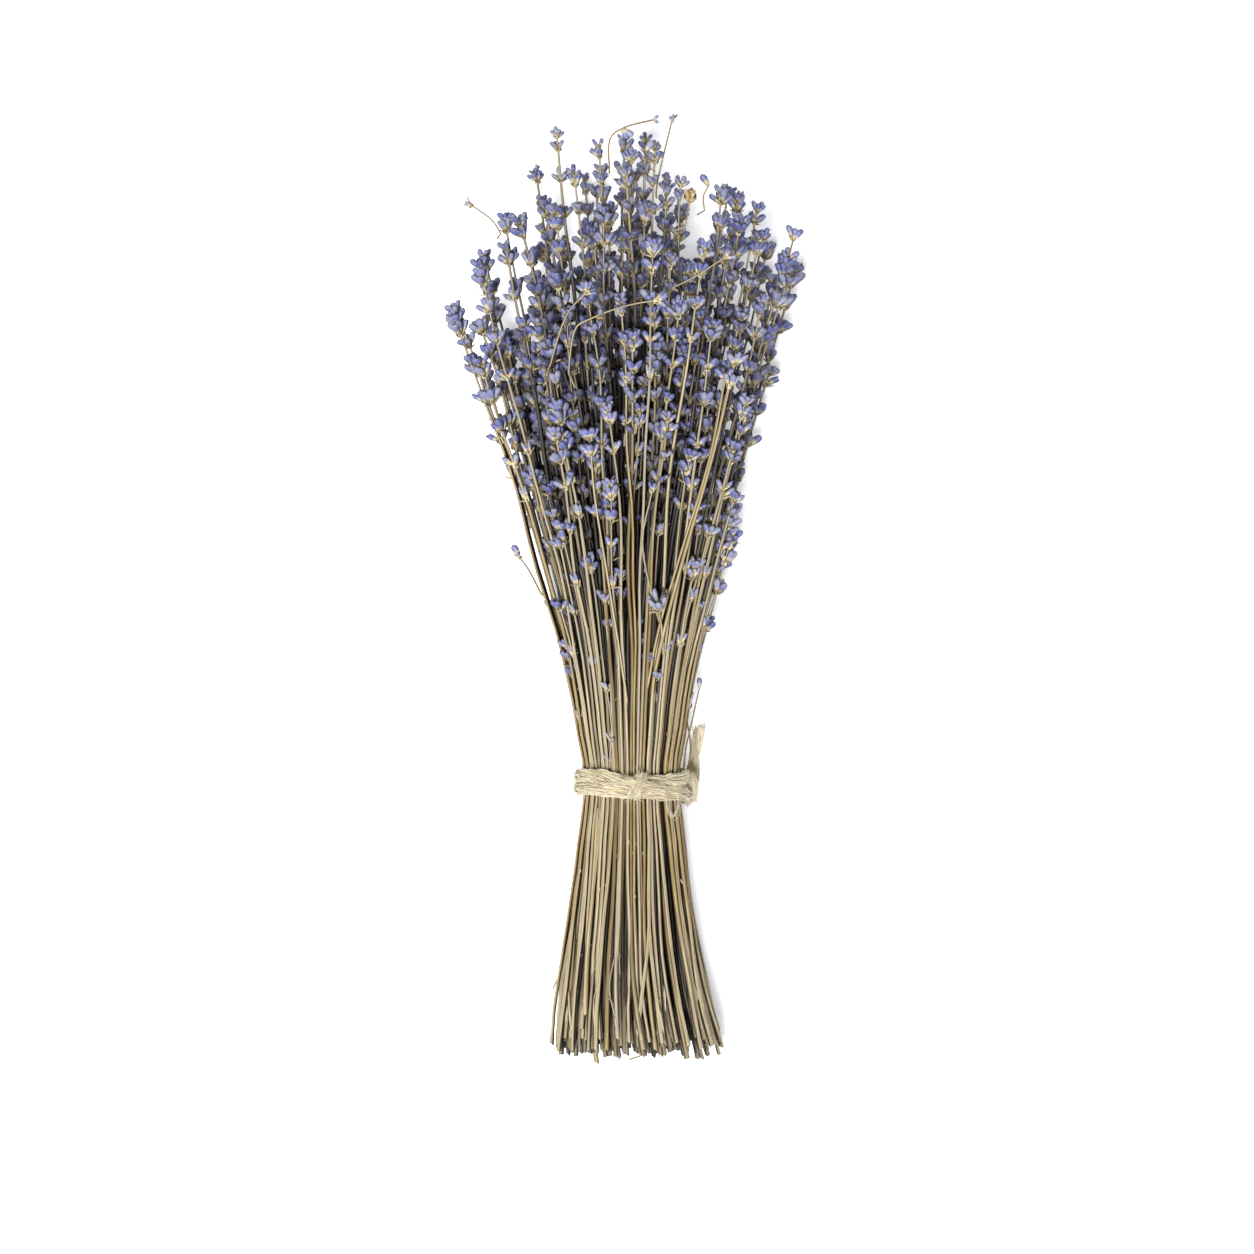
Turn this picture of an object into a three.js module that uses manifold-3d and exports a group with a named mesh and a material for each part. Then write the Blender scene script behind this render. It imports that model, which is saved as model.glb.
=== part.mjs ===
// A bunch of dried lavender, tied with two wraps of jute twine and laid down on its side.
//
// Millimetres, +Z up. The stems run along Y, with the flower heads towards +Y and the cut ends towards -Y.
// The origin is on the surface that the bunch lies on, under the middle of the lower wrap of twine.

import * as THREE from 'three';
import { mergeVertices } from 'three/addons/utils/BufferGeometryUtils.js';
import Module from 'manifold-3d';

const wasm = await Module();
wasm.setup();

// The twine.
const STRAND_THICKNESS = 3.8; // measured out from the bunch
const STRAND_WIDTH = 4.9; // measured along the bunch, where a wrap lies flattened
const WRAP_SPACING = 4.7; // the upper wrap's middle lies this far above the lower one's
const WRAP_STEPS = 28;
const REST_FLAT_DEPTH = 0.25; // how much the wraps' undersides are pressed flat
const TWINE_GAP = 0.45; // between the wraps and the stems
const TAIL_DIAMETER = 4.0;
const TAIL_SIDES = 8;
const FRONT_KNOT = [
  [0.4, -5.2, 42.6],
  [1.6, -2.6, 45.4],
  [3.0, 1.8, 46.6],
  [3.9, 6.4, 45.6],
  [5.2, 9.6, 42.4],
];
const FRONT_KNOT_CROSSING = [
  [-3.6, 3.4, 43.2],
  [-0.6, 4.2, 45.8],
  [3.2, 3.0, 46.8],
  [7.0, 1.4, 45.6],
  [9.8, 0.8, 42.6],
];
const SIDE_KNOT = [
  [22.9, 7.4, 14.5],
  [26.4, 5.6, 17.2],
  [27.4, 1.4, 18.4],
  [26.2, -2.6, 16.4],
  [25.0, -4.6, 12.4],
  [23.6, -3.2, 8.6],
];
const TAIL_ROUTE = [
  [27.2, -5.4, 6.6],
  [28.0, -0.6, 5.4],
  [29.0, 5.6, 4.2],
  [30.2, 12.2, 3.2],
  [31.0, 19.0, 2.7],
  [32.2, 26.4, 2.5],
];
const KNOT_DIAMETER = 4.2;
const KNOT_SIDES = 6;

// The bunch's section, which the outermost stems' middle lines follow.
const WAIST_Y = WRAP_SPACING / 2;
const WAIST_HALF_WIDTH = 22;
const WAIST_HIGH = 41;
const WAIST_REACH = 60; // how far from the tie the sides are still nearly straight
const HEAD_SPREAD = 0.34; // how fast each side widens towards the heads
const HEAD_RISE = 0.33;
const FOOT_SPREAD = 0.24;
const FOOT_RISE = 0.155;
const RESTING_LOW = 1.1; // middle line of a bare stem that lies on the surface
const SPIKE_LOW = 2.8; // middle line of a spike whose buds lie on the surface
const SPIKE_LOW_FROM = 40;
const SPIKE_LOW_TO = 130;
const PINCH_LENGTH = 16; // within this distance of its middle the tie draws the stems in
const PINCH_SIDE = 1.7;
const PINCH_TOP = 1.5;
const PINCH_LIFT = 4.0; // the lowest stems lift onto the twine under them

// Sprigs of three stems each, in rings round the middle of the bunch.
const RING_COUNTS = [1, 6, 13, 19];
const RING_REACH = [0, 0.31, 0.61, 0.91];
const SPRIG_REACH = 0.085; // how far a stem stands from its sprig's middle, on a unit disc
const WAIST_JITTER = 0.008;
const END_JITTER = 0.075;
const END_REACH = 1.08; // strays stand out past the unit disc by this factor at the most
const COLLAR_RADIUS = 1.75; // the three stems are pressed together under the twine
const COLLAR_HALF_LENGTH = 3.5;
const PRESSED_RADIUS_MAX = 3.6; // where the twine is tightest, each sprig spreads into the gaps round it
const PRESSED_GAP = 0.45;
const PRESSED_STEP = 0.1;
const STEM_RADIUS = 1.1;
const STEM_TIP_RADIUS = 0.8;
const SHARED_STATIONS = [34, 90];
const FOOT_STATION = -30;

// Lengths along the bunch.
const TIP_MAX = 290;
const TIP_SIDE_DROP = 74; // how much lower the tips end at the two sides
const TIP_FRONT_DROP = 34; // and at the top of the lying bunch
const TIP_DEPTH = 115;
const COMPANION_TIP_DEPTH = 150;
const TIP_DEPTH_POWER = 1.4;
const TIP_MIN = 100;
const TIP_MIN_SCATTER = 12;
const CUT_END = -112;
const CUT_END_SCATTER = 4.6;

// Whorls of buds.
const WHORLS_BELOW_TIP = [7, 16.5, 28, 44];
const COMPANION_WHORLS_BELOW_TIP = [9.5];
const WHORL_SCATTER = 1.6;
const WHORL_HEIGHT = 2.0;
const WHORL_FACES = 6; // one of them stays bare
const BUD_LENGTH = 6.2;
const BUD_RADIUS = 1.2;
const BUD_WIDEST = 0.7; // share of the length from the root
const BUD_OPENINGS = [44, 38, 32].map(THREE.MathUtils.degToRad);
const BUD_SIZES = [1, 0.82];
const CLEARANCE = 0.35;

const STRAW = new THREE.Color(0xa8946c);
const STEM_BROWN = new THREE.Color(0x8c7a52);
const BUD_ROOT = new THREE.Color(0xb09c70);
const BUD_VIOLET = new THREE.Color(0x6a6c92);
const BUD_LILAC = new THREE.Color(0x9496b8);
const JUTE = 0xd9c8a2;

const THIRD_TURN = (2 * Math.PI) / 3;

/** Seeded random numbers from 0 to 1. */
function seededRandom(seed) {
  let state = seed;
  return () => {
    state = (state + 0x6d2b79f5) | 0;
    let mixed = Math.imul(state ^ (state >>> 15), 1 | state);
    mixed = (mixed + Math.imul(mixed ^ (mixed >>> 7), 61 | mixed)) ^ mixed;
    return ((mixed ^ (mixed >>> 14)) >>> 0) / 4294967296;
  };
}

const SEED = 35;
const random = seededRandom(SEED);
const scatter = (amount) => amount * (2 * random() - 1);

/** Half width, lowest and highest middle line of the bunch at a station along it. */
function sectionAt(y) {
  const flare = Math.hypot(y - WAIST_Y, WAIST_REACH) - WAIST_REACH;
  const towardsHead = y > WAIST_Y;
  const pinch = Math.exp(-(((y - WAIST_Y) / PINCH_LENGTH) ** 4));
  const spikes = THREE.MathUtils.smoothstep(y, SPIKE_LOW_FROM, SPIKE_LOW_TO);
  return {
    halfWidth: WAIST_HALF_WIDTH + flare * (towardsHead ? HEAD_SPREAD : FOOT_SPREAD) - PINCH_SIDE * pinch,
    low: RESTING_LOW + (SPIKE_LOW - RESTING_LOW) * spikes + PINCH_LIFT * pinch,
    high: WAIST_HIGH + flare * (towardsHead ? HEAD_RISE : FOOT_RISE) - PINCH_TOP * pinch,
  };
}

/** Flattens the lower half of the unit disc towards a square, as the bunch's weight does. */
function settle(u, v) {
  if (v >= 0 || Math.abs(u) >= 1) {
    return v;
  }
  return (v * (1 - u ** 4) ** 0.25) / Math.sqrt(1 - u * u);
}

/** The point at a station along the bunch for a place on the unit disc. */
function pointAt(u, v, y) {
  const { halfWidth, low, high } = sectionAt(y);
  const z = (low + high) / 2 + (settle(u, v) * (high - low)) / 2;
  return new THREE.Vector3(u * halfWidth, y, z);
}

/** Station at which a stem with this place on the disc ends in its top bud. */
function tipStation(u, v, depth) {
  const highest = TIP_MAX - TIP_SIDE_DROP * Math.abs(u) ** 1.5 - TIP_FRONT_DROP * Math.max(v, 0) ** 2;
  return Math.max(highest - depth * random() ** TIP_DEPTH_POWER, TIP_MIN + scatter(TIP_MIN_SCATTER));
}

/** The middle line of one stem, which drifts a little on the disc away from the tie. */
class Stem {
  constructor(u, v, tipDepth, whorlsBelowTip) {
    this.u = u + scatter(WAIST_JITTER);
    this.v = v + scatter(WAIST_JITTER);
    this.driftU = scatter(END_JITTER);
    this.driftV = scatter(END_JITTER);
    this.tip = tipStation(this.u, this.v, tipDepth);
    this.cutEnd = CUT_END + scatter(CUT_END_SCATTER);
    this.whorls = whorlsBelowTip.map((below) => this.tip - below - scatter(WHORL_SCATTER)).reverse();
    this.bareStations = SHARED_STATIONS.filter((station) => station < this.whorls[0] - 2 * WHORL_HEIGHT);
    this.stations = [WAIST_Y, ...this.bareStations];
    for (const whorl of this.whorls) {
      this.stations.push(whorl - WHORL_HEIGHT / 2, whorl + WHORL_HEIGHT / 2);
    }
    this.stations.push(this.tip);
  }

  at(y) {
    const away = (y - WAIST_Y) / (TIP_MAX - WAIST_Y);
    const u = this.u + this.driftU * away;
    const v = this.v + this.driftV * away;
    const trim = Math.min(1, THREE.MathUtils.lerp(1, END_REACH, Math.abs(away)) / Math.hypot(u, v));
    return pointAt(u * trim, v * trim, y);
  }

  radiusAt(y) {
    return THREE.MathUtils.mapLinear(Math.max(y, 0), 0, TIP_MAX, STEM_RADIUS, STEM_TIP_RADIUS);
  }

  lines() {
    const stations = [this.cutEnd, FOOT_STATION, ...this.stations];
    const points = stations.map((station) => this.at(station));
    return points.slice(1).map((end, i) => new THREE.Line3(points[i], end));
  }
}

/** Every stem of the bunch, three to a sprig: a main one and two companions with fewer whorls. */
function layOutStems() {
  const stems = [];
  RING_COUNTS.forEach((count, ring) => {
    const start = random();
    for (let i = 0; i < count; i += 1) {
      const turn = ((i + start) / count) * 2 * Math.PI;
      const middle = new THREE.Vector2(RING_REACH[ring], 0).rotateAround(new THREE.Vector2(), turn);
      const facing = random() * 2 * Math.PI;
      for (let k = 0; k < 3; k += 1) {
        const angle = facing + k * THIRD_TURN;
        const u = middle.x + SPRIG_REACH * Math.sin(angle);
        const v = middle.y + SPRIG_REACH * Math.cos(angle);
        const isMain = k === 0;
        const whorls = isMain ? WHORLS_BELOW_TIP : COMPANION_WHORLS_BELOW_TIP;
        stems.push(new Stem(u, v, isMain ? TIP_DEPTH : COMPANION_TIP_DEPTH, whorls));
      }
    }
  });
  return stems;
}

/**
 * A closed surface under construction. An open face is a triangle of point numbers, wound anticlockwise as
 * seen from outside, that the next piece grows out of.
 */
class Surface {
  constructor() {
    this.positions = [];
    this.colours = [];
    this.triangles = [];
  }

  point(place, colour) {
    this.positions.push(place.x, place.y, place.z);
    this.colours.push(colour.r, colour.g, colour.b);
    return this.positions.length / 3 - 1;
  }

  place(index) {
    return new THREE.Vector3().fromArray(this.positions, 3 * index);
  }

  middle(face) {
    const sum = face.reduce((total, index) => total.add(this.place(index)), new THREE.Vector3());
    return sum.divideScalar(face.length);
  }

  close(face) {
    this.triangles.push(...face);
  }

  /** Grows an open face to a new ring of as many points, and gives back the open faces of the sides. */
  sides(face, ring) {
    return face.flatMap((from, i) => {
      const next = (i + 1) % face.length;
      return [
        [from, face[next], ring[next]],
        [from, ring[next], ring[i]],
      ];
    });
  }

  extend(face, ring) {
    this.sides(face, ring).forEach((side) => this.close(side));
    return ring;
  }

  geometry() {
    const geometry = new THREE.BufferGeometry();
    geometry.setAttribute('position', new THREE.Float32BufferAttribute(this.positions, 3));
    geometry.setAttribute('color', new THREE.Float32BufferAttribute(this.colours, 3));
    geometry.setIndex(this.triangles);
    geometry.computeVertexNormals();
    return geometry;
  }
}

/** A place, raised where the bunch's own weight would press it into the surface below. */
function raised(place) {
  return place.setZ(Math.max(place.z, 0));
}

/** Three corners round a middle line; heading is 1 for a stem that grows towards +Y and -1 towards -Y. */
function stemRing(surface, centre, radius, phase, heading, colour) {
  return [0, 1, 2].map((k) => {
    const angle = phase + heading * k * THIRD_TURN;
    const corner = new THREE.Vector3(Math.sin(angle), 0, Math.cos(angle)).multiplyScalar(radius).add(centre);
    return surface.point(raised(corner), colour);
  });
}

/** The direction, in the section plane, in which an open face's first corner lies from its middle. */
function phaseOf(surface, face) {
  const corner = surface.place(face[0]).sub(surface.middle(face));
  return Math.atan2(corner.x, corner.z);
}

/** Where the widest part and the tip of a bud would come. */
function budPlan(root, direction, size) {
  return {
    root,
    direction,
    widest: root.clone().addScaledVector(direction, BUD_LENGTH * BUD_WIDEST * size),
    tip: root.clone().addScaledVector(direction, BUD_LENGTH * size),
    radius: BUD_RADIUS * size,
  };
}

/** A bud on an open face: three corners at its widest part, turned to follow the root, and a tip. */
function growBud(surface, face, plan) {
  const across = new THREE.Plane(plan.direction, 0);
  const corners = face.map((index) => {
    const fromRoot = surface.place(index).sub(plan.root);
    return across.projectPoint(fromRoot, new THREE.Vector3());
  });
  const first = corners[0].clone().normalize();
  const second = plan.direction.clone().cross(first);
  const turns = corners.map((corner, k) => {
    const angle = Math.atan2(corner.dot(second), corner.dot(first));
    return THREE.MathUtils.euclideanModulo(angle - k * THIRD_TURN + Math.PI, 2 * Math.PI) - Math.PI;
  });
  const phase = (turns[0] + turns[1] + turns[2]) / 3;
  const ring = [0, 1, 2].map((k) => {
    const angle = phase + k * THIRD_TURN;
    const corner = plan.widest
      .clone()
      .addScaledVector(first, plan.radius * Math.cos(angle))
      .addScaledVector(second, plan.radius * Math.sin(angle));
    return surface.point(raised(corner), BUD_VIOLET);
  });
  surface.extend(face, ring);
  const tip = surface.point(raised(plan.tip.clone()), BUD_LILAC);
  ring.forEach((from, k) => surface.close([from, ring[(k + 1) % 3], tip]));
}

/** Keeps every stem and bud of the bunch, so that each new bud can be bent clear of them. */
class Neighbours {
  constructor(stems) {
    this.lines = [];
    for (const stem of stems) {
      stem.lines().forEach((line, i, lines) => {
        const isTopBud = i === lines.length - 1;
        this.add(line, isTopBud ? BUD_RADIUS : stem.radiusAt(line.start.y), stem);
      });
    }
  }

  add(line, radius, owner) {
    const box = new THREE.Box3().setFromPoints([line.start, line.end]).expandByScalar(radius);
    this.lines.push({ line, radius, owner, box });
  }

  clear(plan, owner) {
    const line = new THREE.Line3(plan.root, plan.tip);
    const reach = plan.radius + CLEARANCE;
    const box = new THREE.Box3().setFromPoints([plan.root, plan.tip]).expandByScalar(reach);
    return this.lines.every((other) => {
      if (other.owner === owner || !other.box.intersectsBox(box)) {
        return true;
      }
      return Math.sqrt(line.distanceSqToLine3(other.line)) >= reach + other.radius;
    });
  }

  addBud(plan, owner) {
    this.add(new THREE.Line3(plan.root, plan.tip), plan.radius, owner);
  }
}

/** The buds round one station of a stem, which stay clear of each other at their widest parts. */
class Whorl {
  constructor(stem) {
    this.stem = stem;
    this.plans = [];
  }

  clear(plan) {
    return this.plans.every((other) => other.widest.distanceTo(plan.widest) >= other.radius + plan.radius);
  }
}

/** Grows a bud on an open face, opened as wide as its neighbours allow, or closes the face. */
function tryBud(surface, face, along, whorl, neighbours) {
  const root = surface.middle(face);
  const outward = root.clone().sub(whorl.stem.at(root.y));
  outward.addScaledVector(along, -outward.dot(along)).normalize();
  for (const size of BUD_SIZES) {
    for (const opening of BUD_OPENINGS) {
      const direction = outward.clone().multiplyScalar(Math.sin(opening));
      direction.addScaledVector(along, Math.cos(opening));
      const plan = budPlan(root, direction, size);
      if (neighbours.clear(plan, whorl.stem) && whorl.clear(plan)) {
        growBud(surface, face, plan);
        whorl.plans.push(plan);
        return;
      }
    }
  }
  surface.close(face);
}

/** A stem's upper part: bare up to its whorls, with a bud at its tip. */
function growUp(surface, face, stem, neighbours) {
  const phase = phaseOf(surface, face);
  const ringAt = (y, colour) => stemRing(surface, stem.at(y), stem.radiusAt(y), phase, 1, colour);
  let open = face;
  for (const station of stem.bareStations) {
    open = surface.extend(open, ringAt(station, STRAW));
  }
  for (const y of stem.whorls) {
    const whorl = new Whorl(stem);
    open = surface.extend(open, ringAt(y - WHORL_HEIGHT / 2, BUD_ROOT));
    const upper = ringAt(y + WHORL_HEIGHT / 2, BUD_ROOT);
    const along = stem.at(y + WHORL_HEIGHT).sub(stem.at(y - WHORL_HEIGHT)).normalize();
    const bare = Math.floor(random() * WHORL_FACES);
    surface.sides(open, upper).forEach((side, i) => {
      if (i === bare) {
        surface.close(side);
      } else {
        tryBud(surface, side, along, whorl, neighbours);
      }
    });
    whorl.plans.forEach((plan) => neighbours.addBud(plan, stem));
    open = upper;
  }
  const root = surface.middle(open);
  const direction = stem.at(stem.tip).sub(root).normalize();
  growBud(surface, open, budPlan(root, direction, (stem.tip - root.y) / (BUD_LENGTH * direction.y)));
}

/** A stem's lower part, down to its cut end. */
function growDown(surface, face, stem) {
  const phase = phaseOf(surface, face);
  const knee = stemRing(surface, stem.at(FOOT_STATION), STEM_RADIUS, phase, -1, STEM_BROWN);
  const foot = stemRing(surface, stem.at(stem.cutEnd), STEM_RADIUS, phase, -1, STEM_BROWN);
  surface.close(surface.extend(surface.extend(face, knee), foot));
}

/** The middle of a sprig's three stems at a station. */
function sprigMiddle(stems, y) {
  const sum = stems.reduce((total, stem) => total.add(stem.at(y)), new THREE.Vector3());
  return sum.divideScalar(stems.length);
}

/** Directions from a sprig's middle to the clefts between its stems, in the section plane. */
function cleftDirections(stems, y) {
  const middle = sprigMiddle(stems, y);
  return stems.map((stem, k) => {
    const cleft = stem.at(y).add(stems[(k + 1) % 3].at(y)).divideScalar(2);
    return cleft.sub(middle).normalize();
  });
}

/** A sprig's three-cornered outline where the twine is tightest. */
class PressedOutline {
  constructor(stems) {
    this.middle = sprigMiddle(stems, WAIST_Y);
    this.directions = cleftDirections(stems, WAIST_Y);
    this.radii = [COLLAR_RADIUS, COLLAR_RADIUS, COLLAR_RADIUS];
  }

  corners() {
    return this.directions.map((direction, k) => {
      return this.middle.clone().addScaledVector(direction, this.radii[k]);
    });
  }

  edges() {
    return closedLines(this.corners());
  }

  gapTo(lines) {
    const gaps = this.edges().flatMap((edge) => lines.map((line) => edge.distanceSqToLine3(line)));
    return Math.sqrt(Math.min(...gaps));
  }
}

function closedLines(points) {
  return points.map((point, i) => new THREE.Line3(point, points[(i + 1) % points.length]));
}

/** Spreads the sprigs' outlines until each lies just clear of its neighbours and of the twine. */
function pressTogether(sprigs, twineInside) {
  const outlines = sprigs.map((stems) => new PressedOutline(stems));
  for (let radius = COLLAR_RADIUS; radius < PRESSED_RADIUS_MAX; radius += PRESSED_STEP) {
    for (const outline of outlines) {
      const near = outlines.filter(
        (other) => other !== outline && other.middle.distanceTo(outline.middle) < 3 * PRESSED_RADIUS_MAX,
      );
      const lines = [...twineInside, ...near.flatMap((other) => other.edges())];
      outline.radii.forEach((before, k) => {
        outline.radii[k] = before + PRESSED_STEP;
        if (outline.gapTo(lines) < PRESSED_GAP) {
          outline.radii[k] = before;
        }
      });
    }
  }
  return outlines;
}

/** One sprig: three stems that are pressed into one body under the twine. */
function sprigGeometry(stems, outline, neighbours) {
  const surface = new Surface();
  const collarEnd = (y) => {
    const middle = sprigMiddle(stems, y);
    return cleftDirections(stems, y).map((direction) => {
      return surface.point(direction.multiplyScalar(COLLAR_RADIUS).add(middle), STEM_BROWN);
    });
  };
  const upperY = WAIST_Y + COLLAR_HALF_LENGTH;
  const lowerY = WAIST_Y - COLLAR_HALF_LENGTH;
  const lower = collarEnd(lowerY);
  const pressed = outline.corners().map((corner) => surface.point(corner, STEM_BROWN));
  const upper = collarEnd(upperY);
  surface.extend(lower, pressed);
  surface.extend(pressed, upper);
  const top = surface.point(sprigMiddle(stems, upperY), STEM_BROWN);
  const bottom = surface.point(sprigMiddle(stems, lowerY), STEM_BROWN);
  stems.forEach((stem, k) => {
    const before = (k + 2) % 3;
    growUp(surface, [upper[before], upper[k], top], stem, neighbours);
    growDown(surface, [lower[k], lower[before], bottom], stem);
  });
  return surface.geometry();
}

/** A closed three.js geometry as a solid that can be joined and cut. */
function toSolid(geometry) {
  const bare = geometry.clone();
  bare.deleteAttribute('normal');
  bare.deleteAttribute('uv');
  bare.deleteAttribute('color');
  const merged = mergeVertices(bare, 1e-4);
  const mesh = new wasm.Mesh({
    numProp: 3,
    vertProperties: new Float32Array(merged.attributes.position.array),
    triVerts: new Uint32Array(merged.index.array),
  });
  return new wasm.Manifold(mesh);
}

function toGeometry(solid) {
  const mesh = solid.getMesh();
  const geometry = new THREE.BufferGeometry();
  geometry.setAttribute('position', new THREE.Float32BufferAttribute(mesh.vertProperties, 3));
  geometry.setIndex(Array.from(mesh.triVerts));
  return geometry;
}

/** Middle line of a wrap round the stems: the section's own outline, a gap and half a strand further out. */
function wrapPoint(angle, y) {
  const out = STEM_RADIUS + TWINE_GAP + STRAND_THICKNESS / 2;
  const { halfWidth, high } = sectionAt(WAIST_Y);
  const bottom = STRAND_THICKNESS / 2 - REST_FLAT_DEPTH;
  const top = high + out;
  const u = Math.cos(angle);
  const rise = (settle(u, Math.sin(angle)) * (top - bottom)) / 2;
  return new THREE.Vector3(u * (halfWidth + out), y, (bottom + top) / 2 + rise);
}

/** The middle points of a wrap's strand, each with its direction out from the bunch. */
function wrapFrames(y) {
  const step = Math.PI / WRAP_STEPS / 4;
  return Array.from({ length: WRAP_STEPS }, (_, i) => {
    const angle = ((i + 0.5) / WRAP_STEPS) * 2 * Math.PI;
    const run = wrapPoint(angle + step, y).sub(wrapPoint(angle - step, y)).normalize();
    return { centre: wrapPoint(angle, y), out: new THREE.Vector3(0, 1, 0).cross(run).normalize() };
  });
}

/** The inside of the twine, as lines in the section plane through the middle of the tie. */
function twineInsideLines() {
  const frames = wrapFrames(WAIST_Y);
  return closedLines(frames.map(({ centre, out }) => centre.addScaledVector(out, -STRAND_THICKNESS / 2)));
}

/** One wrap of twine: a six-sided strand, flat side out, closed round the stems. */
function wrapSolid(y) {
  const surface = new Surface();
  const colour = new THREE.Color(JUTE);
  const rings = wrapFrames(y).map(({ centre, out }) =>
    [0, 1, 2, 3, 4, 5].map((k) => {
      const turn = ((k + 0.5) * Math.PI) / 3;
      const corner = centre.clone();
      corner.addScaledVector(out, ((Math.cos(turn) / Math.cos(Math.PI / 6)) * STRAND_THICKNESS) / 2);
      corner.y += (Math.sin(turn) * STRAND_WIDTH) / 2;
      return surface.point(corner, colour);
    }),
  );
  rings.forEach((ring, i) => surface.extend(ring, rings[(i + 1) % WRAP_STEPS]));
  return toSolid(surface.geometry());
}

/** A strand along a list of points, with a regular section. */
function strandGeometry(points, diameter, sides, steps) {
  const circle = new THREE.EllipseCurve(0, 0, diameter / 2, diameter / 2);
  const section = new THREE.Shape(circle.getPoints(sides).slice(0, -1));
  const route = new THREE.CatmullRomCurve3(points.map((point) => new THREE.Vector3(...point)));
  return new THREE.ExtrudeGeometry(section, { steps, bevelEnabled: false, extrudePath: route });
}

/** Both wraps with the knots on top and at the right side, pressed flat where they meet the surface. */
function tieGeometry() {
  const wraps = wrapSolid(0).add(wrapSolid(WRAP_SPACING));
  const knots = [FRONT_KNOT, FRONT_KNOT_CROSSING, SIDE_KNOT].map((route) =>
    toSolid(strandGeometry(route, KNOT_DIAMETER, KNOT_SIDES, 2 * (route.length - 1))),
  );
  const joined = knots.reduce((total, knot) => total.add(knot), wraps);
  return toGeometry(joined.trimByPlane([0, 0, 1], 0));
}

function twineMaterial() {
  return new THREE.MeshStandardMaterial({ color: JUTE, roughness: 0.95, metalness: 0 });
}

function named(name, geometry, material) {
  const mesh = new THREE.Mesh(geometry, material);
  mesh.name = name;
  return mesh;
}

const bunch = new THREE.Group();
const stems = layOutStems();
const neighbours = new Neighbours(stems);
const sprigs = Array.from({ length: stems.length / 3 }, (_, i) => stems.slice(3 * i, 3 * i + 3));
const outlines = pressTogether(sprigs, twineInsideLines());
sprigs.forEach((members, i) => {
  const geometry = sprigGeometry(members, outlines[i], neighbours);
  const material = new THREE.MeshStandardMaterial({ vertexColors: true, roughness: 0.85, metalness: 0 });
  bunch.add(named(`sprigs_${String(i + 1).padStart(2, '0')}`, geometry, material));
});
bunch.add(named('twine_tie', tieGeometry(), twineMaterial()));
const tail = strandGeometry(TAIL_ROUTE, TAIL_DIAMETER, TAIL_SIDES, 2 * (TAIL_ROUTE.length - 1));
bunch.add(named('twine_tail', tail, twineMaterial()));

export default bunch;
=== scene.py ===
"""A bunch of dried lavender, tied with jute twine, lying on a pale floor and seen from straight above.

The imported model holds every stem's place. The same seeded rule is repeated here, so each fine stem, whorl and
strand lies where its plain solid lies. Everything is in metres, with the flower heads towards +Y and +Z up.
"""

import sys

import logging
import math
import random
from collections.abc import Iterable, Sequence
from dataclasses import dataclass, field
from enum import Enum, IntEnum

import bpy
import numpy as np
from bpy.types import Collection, Material, Mesh, Node, NodeSocket, NodeTree, Object, Scene
from mathutils import Matrix, Vector
from mathutils.geometry import interpolate_bezier


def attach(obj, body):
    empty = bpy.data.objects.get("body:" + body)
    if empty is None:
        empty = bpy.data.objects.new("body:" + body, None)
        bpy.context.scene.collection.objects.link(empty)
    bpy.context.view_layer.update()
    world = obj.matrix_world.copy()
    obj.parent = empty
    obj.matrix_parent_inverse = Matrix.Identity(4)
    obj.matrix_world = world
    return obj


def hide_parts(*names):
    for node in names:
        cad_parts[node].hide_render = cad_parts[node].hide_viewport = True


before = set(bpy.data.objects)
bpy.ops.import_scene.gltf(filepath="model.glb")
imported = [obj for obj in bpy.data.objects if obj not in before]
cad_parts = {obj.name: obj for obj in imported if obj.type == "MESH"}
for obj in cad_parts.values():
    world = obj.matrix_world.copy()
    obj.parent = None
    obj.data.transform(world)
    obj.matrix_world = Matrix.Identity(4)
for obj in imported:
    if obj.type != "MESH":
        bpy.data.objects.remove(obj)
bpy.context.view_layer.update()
BODY = "root"
MM = 0.001
X_AXIS = Vector((1, 0, 0))
Y_AXIS = Vector((0, 1, 0))
Z_AXIS = Vector((0, 0, 1))
GOLDEN_ANGLE = math.pi * (3 - math.sqrt(5))

# Blender's names for the nodes that are used most, and for a vector's type.
MATH = "ShaderNodeMath"
VECTOR_MATH = "ShaderNodeVectorMath"
MAP_RANGE = "ShaderNodeMapRange"
ATTRIBUTE = "ShaderNodeAttribute"
READ = "GeometryNodeInputNamedAttribute"
STORE = "GeometryNodeStoreNamedAttribute"
VECTOR = "FLOAT_VECTOR"

Range = tuple[float, float]
Triple = tuple[float, float, float]

log = logging.getLogger("lavender_bunch")


def linear(hex_code: int) -> tuple[float, float, float, float]:
    """Turns an sRGB hex colour to linear.

    Args:
        hex_code: The colour, such as 0xD9C8A2.

    Returns:
        Red, green, blue and alpha, each from 0 to 1.
    """
    shares = [((hex_code >> shift) & 0xFF) / 255 for shift in (16, 8, 0)]
    red, green, blue = [s / 12.92 if s <= 0.04045 else ((s + 0.055) / 1.055) ** 2.4 for s in shares]
    return red, green, blue, 1.0


def smoothstep(value: float, low: float, high: float) -> float:
    """Rises smoothly from 0 at low to 1 at high."""
    share = min(max((value - low) / (high - low), 0.0), 1.0)
    return share * share * (3 - 2 * share)


def blend(start: float, end: float, share: float) -> float:
    """The value at a share of the way from start to end."""
    return start + (end - start) * share


def eased_under(value: float, knee: float, ceiling: float) -> float:
    """Lets a value rise more and more slowly above the knee, so that it stays under the ceiling."""
    room = ceiling - knee
    return value if value < knee else knee + room * (1 - math.exp((knee - value) / room))


def given(node: Node) -> NodeSocket:
    """The first output of a node that is in use."""
    return next(output for output in node.outputs if output.enabled)


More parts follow.
